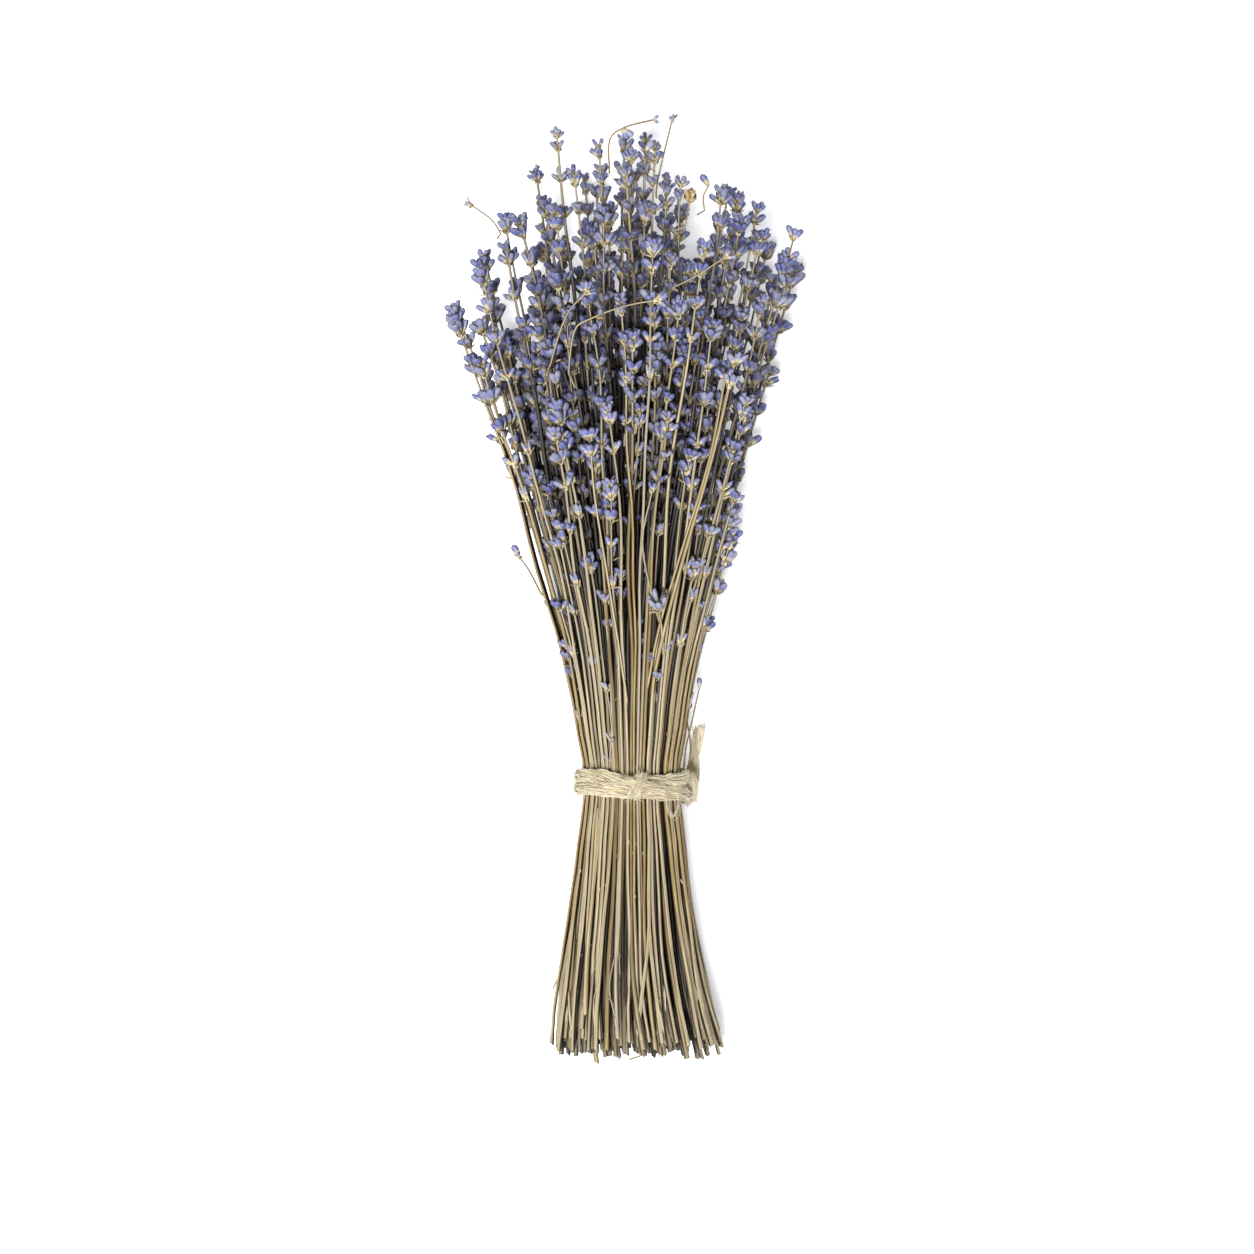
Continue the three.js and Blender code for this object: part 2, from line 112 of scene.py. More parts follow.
def add_node(
    tree: NodeTree,
    kind: str,
    sockets: dict | None = None,
    stops: Sequence[tuple[float, int]] = (),
    **settings: object,
) -> Node:
    """Adds a node with its settings and links.

    Args:
        tree: The tree that gets the node.
        kind: Blender's name for the type of node.
        sockets: What goes into each input, by its identifier, name or number: a plain value, the output of
            another node, or a node whose first output in use is taken.
        stops: Places and hex colours of a colour ramp.
        settings: Properties of the node.

    Returns:
        The node.
    """
    made = tree.nodes.new(kind)
    for name, value in settings.items():
        setattr(made, name, value)
    for key, value in (sockets or {}).items():
        found = [socket for socket in made.inputs if socket.identifier == key]
        socket = found[0] if found else made.inputs[key]
        if isinstance(value, Node):
            value = given(value)
        if isinstance(value, NodeSocket):
            tree.links.new(value, socket)
        else:
            socket.default_value = value
    if stops:
        ramp = made.color_ramp
        while len(ramp.elements) < len(stops):
            ramp.elements.new(0.5)
        for element, (place, hex_code) in zip(ramp.elements, stops):
            element.position = place
            element.color = linear(hex_code)
    return made


# Attributes that steer the trees and that no finish reads.
GUIDE_ONLY = (
    "heading", "side", "size", "form", "thickness", "cut", "section", "along", "width_axis", "half_width",
    "half_depth", "material_index",
)


class GrowthTree:
    """A Geometry Nodes tree under construction, with named inputs."""

    def __init__(self, name: str, inputs: dict[str, str]) -> None:
        """Starts a tree.

        Args:
            name: The tree's name.
            inputs: Each input's label and type, besides the geometry and the finish that all trees have.
        """
        self.tree = bpy.data.node_groups.new(name, "GeometryNodeTree")
        for label, kind in {"Guide": "Geometry", **inputs, "Finish": "Material"}.items():
            self.tree.interface.new_socket(label, in_out="INPUT", socket_type=f"NodeSocket{kind}")
        self.tree.interface.new_socket("Grown", in_out="OUTPUT", socket_type="NodeSocketGeometry")
        self.start = add_node(self.tree, "NodeGroupInput")

    def __getitem__(self, label: str) -> NodeSocket:
        """The value of a named input."""
        return self.start.outputs[label]

    def add(self, kind: str, sockets: dict | None = None, **settings: object) -> Node:
        """Adds a node to the tree, as add_node does."""
        return add_node(self.tree, kind, sockets, **settings)

    def sweep(self, line: Node, section: Node, radius: Node) -> Node:
        """Sweeps a section along lines and keeps the place on the surface, which the finishes read.

        Args:
            line: The lines, which carry how far along each point is.
            section: The closed curve round them, one radius wide, which carries its own corners.
            radius: The lines' radius.

        Returns:
            The node that gives the smooth surface.
        """
        sockets = {"Curve": line, "Profile Curve": section, "Scale": radius, "Fill Caps": True}
        swept = self.add("GeometryNodeCurveToMesh", sockets)
        corner = self.add(READ, {"Name": "section"}, data_type=VECTOR)
        along = self.add(READ, {"Name": "along"}, data_type="FLOAT")
        parts = self.add("ShaderNodeSeparateXYZ", {"Vector": corner}).outputs
        place = self.add("ShaderNodeCombineXYZ", {"X": parts["X"], "Y": parts["Y"], "Z": along})
        swept = self.add(STORE, {"Geometry": swept, "Name": "place", "Value": place}, data_type=VECTOR)
        return self.add("GeometryNodeSetShadeSmooth", {"Geometry": swept})

    def set_on(
        self, points: Node, shapes: str, form: Node, turned_by: Node, scale: Node, chosen: Node | bool = True
    ) -> Node:
        """Sets one of several shapes on each chosen point.

        Args:
            points: The points or lines.
            shapes: The label of the input that holds the shapes.
            form: Which of the shapes each point gets.
            turned_by: How it is turned.
            scale: How large it is.
            chosen: Which points get one.

        Returns:
            The node that gives the shapes.
        """
        kept = {"Collection": self[shapes], "Separate Children": True, "Reset Children": True}
        sockets = {"Points": points, "Selection": chosen, "Rotation": turned_by, "Scale": scale}
        sockets |= {"Instance": self.add("GeometryNodeCollectionInfo", kept), "Pick Instance": True}
        return self.add("GeometryNodeInstanceOnPoints", {**sockets, "Instance Index": form})

    def end(self, geometry: Node) -> "GrowthTree":
        """Makes real meshes of the instances and gives them the finish.

        Args:
            geometry: The node whose geometry the tree gives.

        Returns:
            The tree itself, which is then whole.
        """
        real = self.add("GeometryNodeRealizeInstances", {"Geometry": geometry})
        dressed = self.add("GeometryNodeSetMaterial", {"Geometry": real, "Material": self["Finish"]})
        self.add("NodeGroupOutput", {"Grown": dressed})
        return self

    def run(self, guide: "Guide", name: str, values: dict[str, object]) -> Object:
        """Grows the tree from a guide.

        Args:
            guide: The lines or points.
            name: The name of the new object.
            values: What goes into the named inputs.

        Returns:
            An object with the result as a plain mesh.
        """
        base = guide.made()
        modifier = base.modifiers.new("growth", "NODES")
        modifier.node_group = self.tree
        identifiers = {item.name: item.identifier for item in self.tree.interface.items_tree}
        for label, value in values.items():
            modifier[identifiers[label]] = value
        depsgraph = bpy.context.evaluated_depsgraph_get()
        mesh = bpy.data.meshes.new_from_object(base.evaluated_get(depsgraph), depsgraph=depsgraph)
        base.modifiers.remove(modifier)
        bpy.data.objects.remove(base)
        for steering in GUIDE_ONLY:
            if steering in mesh.attributes:
                mesh.attributes.remove(mesh.attributes[steering])
        mesh.materials.clear()
        mesh.materials.append(values["Finish"])
        return linked(name, mesh)


def linked(name: str, mesh: Mesh) -> Object:
    """Puts a mesh into the scene.

    Args:
        name: The name that it gets.
        mesh: The mesh.

    Returns:
        The object.
    """
    mesh.name = name
    made = bpy.data.objects.new(name, mesh)
    bpy.context.scene.collection.objects.link(made)
    return made


class Guide:
    """The points or lines that a tree grows from, with what each point carries."""

    def __init__(self) -> None:
        """Starts an empty guide."""
        self.points: list[Vector] = []
        self.edges: list[tuple[int, int]] = []
        self.carried: dict[str, list] = {}

    def add(self, point: Vector, joined: bool = False, **carried: float | int | Vector) -> None:
        """Adds a point.

        Args:
            point: Its place.
            joined: Whether a line joins it to the point before.
            carried: What it carries, by attribute name.
        """
        if joined:
            self.edges.append((len(self.points) - 1, len(self.points)))
        self.points.append(point)
        for name, value in carried.items():
            self.carried.setdefault(name, []).append(value)

    def made(self) -> Object:
        """Makes the guide an object, with each attribute typed as its first value is.

        Returns:
            The object.
        """
        mesh = bpy.data.meshes.new("guide")
        mesh.from_pydata([tuple(point) for point in self.points], self.edges, [])
        for name, values in self.carried.items():
            if isinstance(values[0], Vector):
                kind, key, number = VECTOR, "vector", np.float32
                values = [tuple(value) for value in values]
            else:
                kind, key = "INT" if isinstance(values[0], int) else "FLOAT", "value"
                number = np.int32 if kind == "INT" else np.float32
            flat = np.array(values, number).ravel()
            mesh.attributes.new(name, kind, "POINT").data.foreach_set(key, flat)
        return linked("guide", mesh)


def catmull_rom(points: Sequence[Sequence[float]], steps: int) -> list[Vector]:
    """A smooth curve through points.

    Args:
        points: The points, in metres.
        steps: How many steps the curve has between two of them.

    Returns:
        The points of the curve.
    """
    knots = [Vector(point) for point in points]
    knots = [2 * knots[0] - knots[1], *knots, 2 * knots[-1] - knots[-2]]
    curve = []
    for before, start, end, after in zip(knots, knots[1:], knots[2:], knots[3:]):
        handles = (start + (end - before) / 6, end - (after - start) / 6)
        curve.extend(interpolate_bezier(start, *handles, end, steps + 1)[:-1])
    return [*curve, knots[-2]]


def millimetres(points: Sequence[Sequence[float]]) -> list[Vector]:
    """Turns points in millimetres to metres."""
    return [Vector(point) * MM for point in points]


def declare(piece: Object, slot: str) -> None:
    """Presses flat what would reach into the floor, and says which body a piece belongs to.

    Args:
        piece: The piece.
        slot: The slot of its finish; not used.
    """
    places = np.empty(len(piece.data.vertices) * 3, np.float32)
    piece.data.vertices.foreach_get("co", places)
    places[2::3] = np.maximum(places[2::3], 0)
    piece.data.vertices.foreach_set("co", places)
    piece.data.update()
    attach(piece, BODY)
    log.info("%s: %d faces", piece.name, len(piece.data.polygons))


# The finishes.


class Finish:
    """What every finish shares: one shader with a colour pattern and a fine relief.

    What lies deep inside the bunch is painted browner and darker: painted shade, as its neighbours would shade
    it.
    """

    slot: str
    relief: float
    painted_shade: int = 0x35281A
    relief_strength: float = 0.7

    def pattern(self, tree: NodeTree) -> tuple[Node, Node]:
        """Adds the pattern's nodes.

        Args:
            tree: The material's tree.

        Returns:
            The node that gives the colour and the one that gives the height.
        """
        raise NotImplementedError

    def settings(self) -> dict[str, object]:
        """The shader's plain values, by socket."""
        raise NotImplementedError

    def material(self) -> Material:
        """Builds the material.

        Returns:
            The material.
        """
        made = bpy.data.materials.new(self.slot)
        made.use_nodes = True
        tree = made.node_tree
        colour, height = self.pattern(tree)
        # Painted shade: the shade attribute darkens the colour towards a dark brown deep inside the bunch.
        shade = add_node(tree, ATTRIBUTE, attribute_name="shade").outputs["Fac"]
        darker = {"Factor_Float": shade, "A_Color": colour, "B_Color": linear(self.painted_shade)}
        deep = add_node(tree, "ShaderNodeMix", darker, data_type="RGBA", blend_type="MULTIPLY")
        raised = {"Height": height, "Strength": self.relief_strength, "Distance": self.relief}
        bump = add_node(tree, "ShaderNodeBump", raised)
        shader = tree.nodes["Principled BSDF"]
        tree.links.new(given(deep), shader.inputs["Base Color"])
        tree.links.new(bump.outputs["Normal"], shader.inputs["Normal"])
        for socket, value in self.settings().items():
            shader.inputs[socket].default_value = value
        return made


def around(tree: NodeTree, repeats: float, operation: str) -> Node:
    """Adds a wave that runs round a stem or calyx.

    Args:
        tree: The material's tree.
        repeats: How many waves there are in a turn.
        operation: SINE or COSINE.

    Returns:
        The node that gives the wave, from -1 to 1.
    """
    place = add_node(tree, ATTRIBUTE, attribute_name="place").outputs["Vector"]
    parts = add_node(tree, "ShaderNodeSeparateXYZ", {"Vector": place}).outputs
    angle = add_node(tree, MATH, {0: parts["Y"], 1: parts["X"]}, operation="ARCTAN2")
    turns = add_node(tree, MATH, {0: angle, 1: repeats}, operation="MULTIPLY")
    return add_node(tree, MATH, {0: turns}, operation=operation)


def turned(tree: NodeTree, start: float, end: float, most: float) -> Node:
    """Adds a share by how a surface is turned to the bunch's outside, for painted shade on what looks inward,
    as its neighbours would shade it, and for painted highlight on what looks out.

    Args:
        tree: The material's tree.
        start: The cosine of its turn at which the share starts.
        end: The cosine at which it is full.
        most: The full share.

    Returns:
        The node that gives the share.
    """
    normal = add_node(tree, "ShaderNodeNewGeometry").outputs["Normal"]
    outward = add_node(tree, ATTRIBUTE, attribute_name="outward").outputs["Vector"]
    facing = add_node(tree, VECTOR_MATH, {0: normal, 1: outward}, operation="DOT_PRODUCT")
    share = {"Value": facing, "From Min": start, "From Max": end, "To Max": most}
    return add_node(tree, MAP_RANGE, share)


def lengthways_noise(tree: NodeTree, across: float, length: float, detail: float) -> Node:
    """Adds a noise that is drawn out along a stem or fibre.

    Args:
        tree: The material's tree.
        across: How fine it is across.
        length: The length of its streaks.
        detail: How many finer layers it has.

    Returns:
        The node that gives the noise.
    """
    place = add_node(tree, ATTRIBUTE, attribute_name="place").outputs["Vector"]
    stretched = add_node(tree, "ShaderNodeMapping", {"Vector": place, "Scale": (across, across, 1 / length)})
    return add_node(tree, "ShaderNodeTexNoise", {"Vector": stretched, "Scale": 1.5, "Detail": detail})


def layered(tree: NodeTree, colour: Node, layers: Iterable[tuple]) -> Node:
    """Lays colours over a colour.

    Args:
        tree: The material's tree.
        colour: The node of the lowest colour.
        layers: Each layer's share, a number or a node, and its colour, a hex code or a node.

    Returns:
        The node that gives the result.
    """
    for share, over in layers:
        over = linear(over) if isinstance(over, int) else over
        sockets = {"Factor_Float": share, "A_Color": colour, "B_Color": over}
        colour = add_node(tree, "ShaderNodeMix", sockets, data_type="RGBA")
    return colour


@dataclass(frozen=True)
class DriedStemFinish(Finish):
    """A dried lavender stem: hard, four-ridged straw with a satin skin, streaked in straw, khaki and brown.

    The pale ridges and the painted shade in the grooves run along the stem, and its sides turned into the bunch
    get painted shade too, so that each stem shows apart from the next.
    """

    slot: str = "dried_stem"
    relief: float = 0.06 * MM
    brown_and_groove_shade: int = 0x5C4526
    khaki: int = 0x856831
    straw: int = 0xAE955B
    pale_straw: int = 0xCCC1A2
    grey_lilac: int = 0xB4AFA9
    painted_hollow_shade: int = 0x463420
    painted_crevice_shade: int = 0x21170C
    streak_length: float = 16 * MM
    ridges: int = 4
    fine_ridges: int = 20

    def settings(self) -> dict[str, object]:
        """Satin straw."""
        return {"Roughness": 0.5, "IOR": 1.5}

    def pattern(self, tree: NodeTree) -> tuple[Node, Node]:
        """Adds the pattern's nodes.

        Args:
            tree: The material's tree.

        Returns:
            The colour's node and the height's node.
        """
        tone = add_node(tree, ATTRIBUTE, attribute_name="tone").outputs["Fac"]
        # Painted shade inside the hollow of a cut end.
        hollow = add_node(tree, ATTRIBUTE, attribute_name="painted_hollow_shade").outputs["Fac"]
        by_tone = [(0.0, self.brown_and_groove_shade), (0.1, self.khaki), (0.35, self.straw), (0.8, self.pale_straw)]
        by_tone += [(0.93, self.pale_straw), (0.97, self.grey_lilac)]
        own = add_node(tree, "ShaderNodeValToRGB", {"Fac": tone}, by_tone)
        streaks = lengthways_noise(tree, 1.2, self.streak_length, 5.0)
        browns = [(0.32, self.brown_and_groove_shade), (0.45, self.khaki), (0.56, self.straw), (0.7, self.pale_straw)]
        streaked = add_node(tree, "ShaderNodeValToRGB", {"Fac": streaks}, browns)
        # Painted shade in the four grooves between the ridges; the same dark brown is also the darkest own tone
        # and streak.
        ridge = around(tree, self.ridges, "COSINE")
        groove = {"Value": ridge, "From Min": -0.2, "From Max": -1.0, "To Max": 0.45}
        painted_groove_shade = add_node(tree, MAP_RANGE, groove)
        # Painted shade on the sides turned into the bunch, where neighbours would shade them.
        painted_side_shade = turned(tree, 0.9, 0.3, 0.97)
        layers = [(0.4, streaked), (painted_groove_shade, self.brown_and_groove_shade), (painted_side_shade, self.painted_crevice_shade), (hollow, self.painted_hollow_shade)]
        fine = around(tree, self.fine_ridges, "SINE")
        height = add_node(tree, MATH, {0: fine, 1: 0.3, 2: streaks}, operation="MULTIPLY_ADD")
        return layered(tree, own, layers), height


@dataclass(frozen=True)
class LavenderCalyxFinish(Finish):
    """A dried lavender calyx: a ribbed violet tube under pale down, tan where it joins the stem.

    The ribs show as lilac lines that fade towards the mouth. The down gives a soft grey bloom, which is partly
    painted highlight on the faces turned out of the bunch and up; the sides turned into it get painted shade.
    """

    slot: str = "lavender_calyx"
    relief: float = 0.2 * MM
    painted_shade: int = 0x7A7068
    root_tan: int = 0xC9B583
    faded: int = 0xC0BBBB
    violet: int = 0x636AA6
    deep_violet: int = 0x494F91
    painted_crevice_shade: int = 0x28242C
    rib_lilac: int = 0xCDCBCB
    grey_bloom_and_highlight: int = 0xADAEB4
    ribs: int = 4
    down_grain: float = 0.45 * MM

    def settings(self) -> dict[str, object]:
        """Dry down."""
        sheen = {"Sheen Weight": 0.1, "Sheen Roughness": 0.6, "Sheen Tint": linear(self.rib_lilac)}
        return {"Roughness": 0.7, "IOR": 1.45, **sheen}

    def pattern(self, tree: NodeTree) -> tuple[Node, Node]:
        """Adds the pattern's nodes.

        Args:
            tree: The material's tree.

        Returns:
            The colour's node and the height's node.
        """
        place = add_node(tree, ATTRIBUTE, attribute_name="place").outputs["Vector"]
        tone = add_node(tree, ATTRIBUTE, attribute_name="tone").outputs["Fac"]
        share = add_node(tree, "ShaderNodeSeparateXYZ", {"Vector": place}).outputs["Z"]
        where = add_node(tree, "ShaderNodeTexCoord").outputs["Object"]
        grain = {"Vector": where, "Scale": 1 / self.down_grain, "Detail": 2.0}
        down = add_node(tree, "ShaderNodeTexNoise", grain)
        shifted = add_node(tree, MATH, {0: down, 1: 0.2, 2: share}, operation="MULTIPLY_ADD")
        by_length = [(0.48, self.root_tan), (0.56, self.faded), (0.68, self.violet), (1.0, self.deep_violet)]
        lengthways = add_node(tree, "ShaderNodeValToRGB", {"Fac": shifted}, by_length)
        tones = [(0.0, self.deep_violet), (0.3, self.violet), (0.75, self.grey_bloom_and_highlight), (1.0, self.rib_lilac)]
        own = add_node(tree, "ShaderNodeValToRGB", {"Fac": tone}, tones)
        ribs = around(tree, self.ribs, "COSINE")
        in_violet, on_rib, fading = [
            add_node(tree, MAP_RANGE, sockets)
            for sockets in (
                {"Value": share, "From Min": 0.42, "From Max": 0.68, "To Max": 0.45},
                {"Value": ribs, "From Min": 0.35, "From Max": 1.0, "To Max": 0.42},
                {"Value": share, "From Min": 0.3, "To Min": 1.0, "To Max": 0.2},
            )
        ]
        rib_share = add_node(tree, MATH, {0: on_rib, 1: fading}, operation="MULTIPLY")
        layers = [
            (in_violet, own),
            (rib_share, self.rib_lilac),
            # Painted shade on the sides turned into the bunch, then a painted highlight, partly the down's grey
            # bloom, on the faces turned out and up.
            (turned(tree, 0.66, 0.0, 0.84), self.painted_crevice_shade),
            (turned(tree, 0.8, 1.0, 0.38), self.grey_bloom_and_highlight),
        ]
        height = add_node(tree, MATH, {0: ribs, 1: 0.5, 2: down}, operation="MULTIPLY_ADD")
        return layered(tree, lengthways, layers), height


@dataclass(frozen=True)
class DriedBractFinish(Finish):
    """A dried bract or petal: thin papery tissue, ochre, with brown veins from its root to its tip."""

    slot: str = "dried_bract"
    relief: float = 0.08 * MM
    vein_brown: int = 0x735A38
    ochre: int = 0xB39A66
    pale_tan: int = 0xDCD0AE
    violet_brown: int = 0x574A54
    veins: float = 7.0

    def settings(self) -> dict[str, object]:
        """Dry paper."""
        return {"Roughness": 0.7, "IOR": 1.45}

    def pattern(self, tree: NodeTree) -> tuple[Node, Node]:
        """Adds the pattern's nodes.

        Args:
            tree: The material's tree.

        Returns:
            The colour's node and the height's node.
        """
        place = add_node(tree, ATTRIBUTE, attribute_name="place").outputs["Vector"]
        tone = add_node(tree, ATTRIBUTE, attribute_name="tone").outputs["Fac"]
        side = add_node(tree, "ShaderNodeSeparateXYZ", {"Vector": place}).outputs["X"]
        across = add_node(tree, MATH, {0: side, 1: self.veins * math.pi}, operation="MULTIPLY")
        veins = add_node(tree, MATH, {0: across}, operation="COSINE")
        by_tone = [(0.0, self.violet_brown), (0.12, self.vein_brown), (0.4, self.ochre), (0.8, self.pale_tan)]
        own = add_node(tree, "ShaderNodeValToRGB", {"Fac": tone}, by_tone)
        line = {"Value": veins, "From Min": 0.4, "From Max": 1.0, "To Max": 0.4}
        on_vein = add_node(tree, MAP_RANGE, line)
        return layered(tree, own, [(on_vein, self.vein_brown)]), veins


@dataclass(frozen=True)
class JuteFinish(Finish):
    """Loosely spun jute: long cream fibres, some lighter and some browner, with a dry sheen."""

    slot: str = "jute_twine"
    relief: float = 0.08 * MM
    shade: int = 0x9C865A
    cream: int = 0xDBCDA7
    bright: int = 0xCFC7B0
    fibre_length: float = 9 * MM

    def settings(self) -> dict[str, object]:
        """Dry fibre."""
        return {"Roughness": 0.85, "IOR": 1.5, "Sheen Weight": 0.2, "Sheen Roughness": 0.5}

    def pattern(self, tree: NodeTree) -> tuple[Node, Node]:
        """Adds the pattern's nodes.

        Args:
            tree: The material's tree.

        Returns:
            The colour's node and the height's node.
        """
        tone = add_node(tree, ATTRIBUTE, attribute_name="tone").outputs["Fac"]
        fibres = lengthways_noise(tree, 1.9, self.fibre_length, 4.0)
        share = add_node(tree, MATH, {0: tone, 1: 0.5, 2: fibres}, operation="MULTIPLY_ADD")
        by_share = [(0.38, self.shade), (0.56, self.cream), (0.95, self.bright)]
        return add_node(tree, "ShaderNodeValToRGB", {"Fac": share}, by_share), fibres


# The rule that places the stems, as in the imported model.

SEED = 35
WORD = 0xFFFFFFFF
WRAP_SPACING = 4.7 * MM
WAIST_Y = WRAP_SPACING / 2
WAIST_HALF_WIDTH = 22 * MM
WAIST_HIGH = 41 * MM
WAIST_REACH = 60 * MM
HEAD_SPREAD = 0.34
HEAD_RISE = 0.33
FOOT_SPREAD = 0.24
FOOT_RISE = 0.155
RESTING_LOW = 1.1 * MM
SPIKE_LOW = 2.8 * MM
SPIKE_LOW_FROM = 40 * MM
SPIKE_LOW_TO = 130 * MM
PINCH_LENGTH = 16 * MM
PINCH_SIDE = 1.7 * MM
PINCH_TOP = 1.5 * MM
PINCH_LIFT = 4.0 * MM
RING_COUNTS = (1, 6, 13, 19)
RING_REACH = (0, 0.31, 0.61, 0.91)
SPRIG_REACH = 0.085
WAIST_JITTER = 0.008
END_JITTER = 0.075
END_REACH = 1.08
TIP_MAX = 290 * MM
TIP_SIDE_DROP = 74 * MM
TIP_FRONT_DROP = 34 * MM
TIP_DEPTH = 115 * MM
COMPANION_TIP_DEPTH = 150 * MM
TIP_DEPTH_POWER = 1.4
TIP_MIN = 100 * MM
TIP_MIN_SCATTER = 12 * MM
CUT_END = -112 * MM
CUT_END_SCATTER = 4.6 * MM
WHORLS_BELOW_TIP = (7 * MM, 16.5 * MM, 28 * MM, 44 * MM)
COMPANION_WHORLS_BELOW_TIP = (9.5 * MM,)
WHORL_SCATTER = 1.6 * MM
STEM_RADIUS = 1.1 * MM
SPIKE_LENGTH = 110 * MM
THINNEST_STALK = 0.36 * MM
CUT_END_LENGTH = 3 * STEM_RADIUS
BARE_TIP = 4.5 * MM
PALEST_STRAW = 0.92
FOOT_SWEEP = 3.0 * MM
FOOT_SWEEP_POWER = 5
FOOT_LEAN_POWER = 1.3
FOOT_START = 15 * MM
FOOT_LENGTH = 100 * MM
LEAN_POWER = 1.6
UPWARD = 0.75
HEAD_KNEE = 88 * MM
HEAD_CEILING = 97 * MM
STRAND_THICKNESS = 3.8 * MM
REST_FLAT_DEPTH = 0.25 * MM

# Stretches over which something sets in, by the distance from the twine, down the foot, or from a stem's tip.
SWAYS_FREELY = (14 * MM, 90 * MM)
STOUT_FOOT = (25 * MM, 95 * MM)
SLIM_TIP = (-75 * MM, -20 * MM)
OPEN_FOOT = (75 * MM, 106 * MM)
OPEN_TIP = (-70 * MM, -10 * MM)
PALE_FOOT = (20 * MM, 100 * MM)
PALE_TIP = (-95 * MM, -35 * MM)

# The same by how far inside the unit disc a stem lies, and by how far under its middle.
# BURIED and BENEATH set the painted shade of stems and whorls; OPEN_FOOT and OPEN_TIP lift it where light
# reaches in.
BURIED = (0.03, 0.16)
BENEATH = (-0.15, 0.6)

# How much each of them does where it is full, and how slim a stem is where the heads end.
TIP_GIRTH = 0.64
FOOT_GIRTH = 1.16
HEAD_GIRTH = 0.88
BENEATH_SHADE = 0.65
FOOT_LIGHT = 0.5
TIP_LIGHT = 0.85
TIP_PALENESS = 0.45
FOOT_PALENESS = 0.42
TIP_FREEDOM = 0.3


class PlacingRandom:
    """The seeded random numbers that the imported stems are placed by."""

    def __init__(self, seed: int) -> None:
        """Starts the series of a seed."""
        self.state = seed

    def draw(self) -> float:
        """Draws the next number.

        Returns:
            A number from 0 to 1.
        """
        self.state = (self.state + 0x6D2B79F5) & WORD
        mixed = ((self.state ^ (self.state >> 15)) * (1 | self.state)) & WORD
        mixed = ((mixed + (((mixed ^ (mixed >> 7)) * (61 | mixed)) & WORD)) & WORD) ^ mixed
        return (mixed ^ (mixed >> 14)) / (WORD + 1)

    def scatter(self, amount: float) -> float:
        """The next number from minus the amount to the amount."""
        return amount * (2 * self.draw() - 1)


@dataclass(frozen=True)
class Section:
    """The bunch's outline at one station along it, which the outermost stems' middle lines follow."""

    half_width: float
    low: float
    high: float

    @classmethod
    def at(cls, y: float) -> "Section":
        """The section at a station.

        Args:
            y: The station, from the middle of the lower wrap of twine.

        Returns:
            The section there.
        """
        flare = math.hypot(y - WAIST_Y, WAIST_REACH) - WAIST_REACH
        spread, rise = (HEAD_SPREAD, HEAD_RISE) if y > WAIST_Y else (FOOT_SPREAD, FOOT_RISE)
        pinch = math.exp(-(((y - WAIST_Y) / PINCH_LENGTH) ** 4))
        spikes = smoothstep(y, SPIKE_LOW_FROM, SPIKE_LOW_TO)
        return cls(
            WAIST_HALF_WIDTH + flare * spread - PINCH_SIDE * pinch,
            RESTING_LOW + (SPIKE_LOW - RESTING_LOW) * spikes + PINCH_LIFT * pinch,
            WAIST_HIGH + flare * rise - PINCH_TOP * pinch,
        )

    def point(self, u: float, v: float, y: float) -> Vector:
        """The point for a place on the unit disc.

        Args:
            u: The place across the bunch.
            v: The place up through the bunch.
            y: The station.

        Returns:
            The point in the row frame.
        """
        middle = (self.low + self.high) / 2
        return Vector((u * self.half_width, y, middle + settle(u, v) * (self.high - self.low) / 2))

    def top_at(self, x: float) -> float:
        """The height of the bunch's top above a place across it."""
        share = min(abs(x) / self.half_width, 0.98)
        return (self.low + self.high) / 2 + math.sqrt(1 - share * share) * (self.high - self.low) / 2


def settle(u: float, v: float) -> float:
    """Flattens the lower half of the unit disc towards a square, as the bunch's weight does.

    Args:
        u: A place across the disc.
        v: The place up through it.

    Returns:
        The new place up.
    """
    if v >= 0 or abs(u) >= 1:
        return v
    return v * (1 - u**4) ** 0.25 / math.sqrt(1 - u * u)


def tip_station(u: float, v: float, depth: float, chance: PlacingRandom) -> float:
    """The station at which a stem ends in its top bud.

    Args:
        u: The stem's place across the bunch, on the unit disc.
        v: Its place up through the bunch.
        depth: How far below the outline of the heads it may end.
        chance: The random numbers to draw from.

    Returns:
        The station.
    """
    highest = TIP_MAX - TIP_SIDE_DROP * abs(u) ** 1.5 - TIP_FRONT_DROP * max(v, 0) ** 2
    return max(highest - depth * chance.draw() ** TIP_DEPTH_POWER, TIP_MIN + chance.scatter(TIP_MIN_SCATTER))


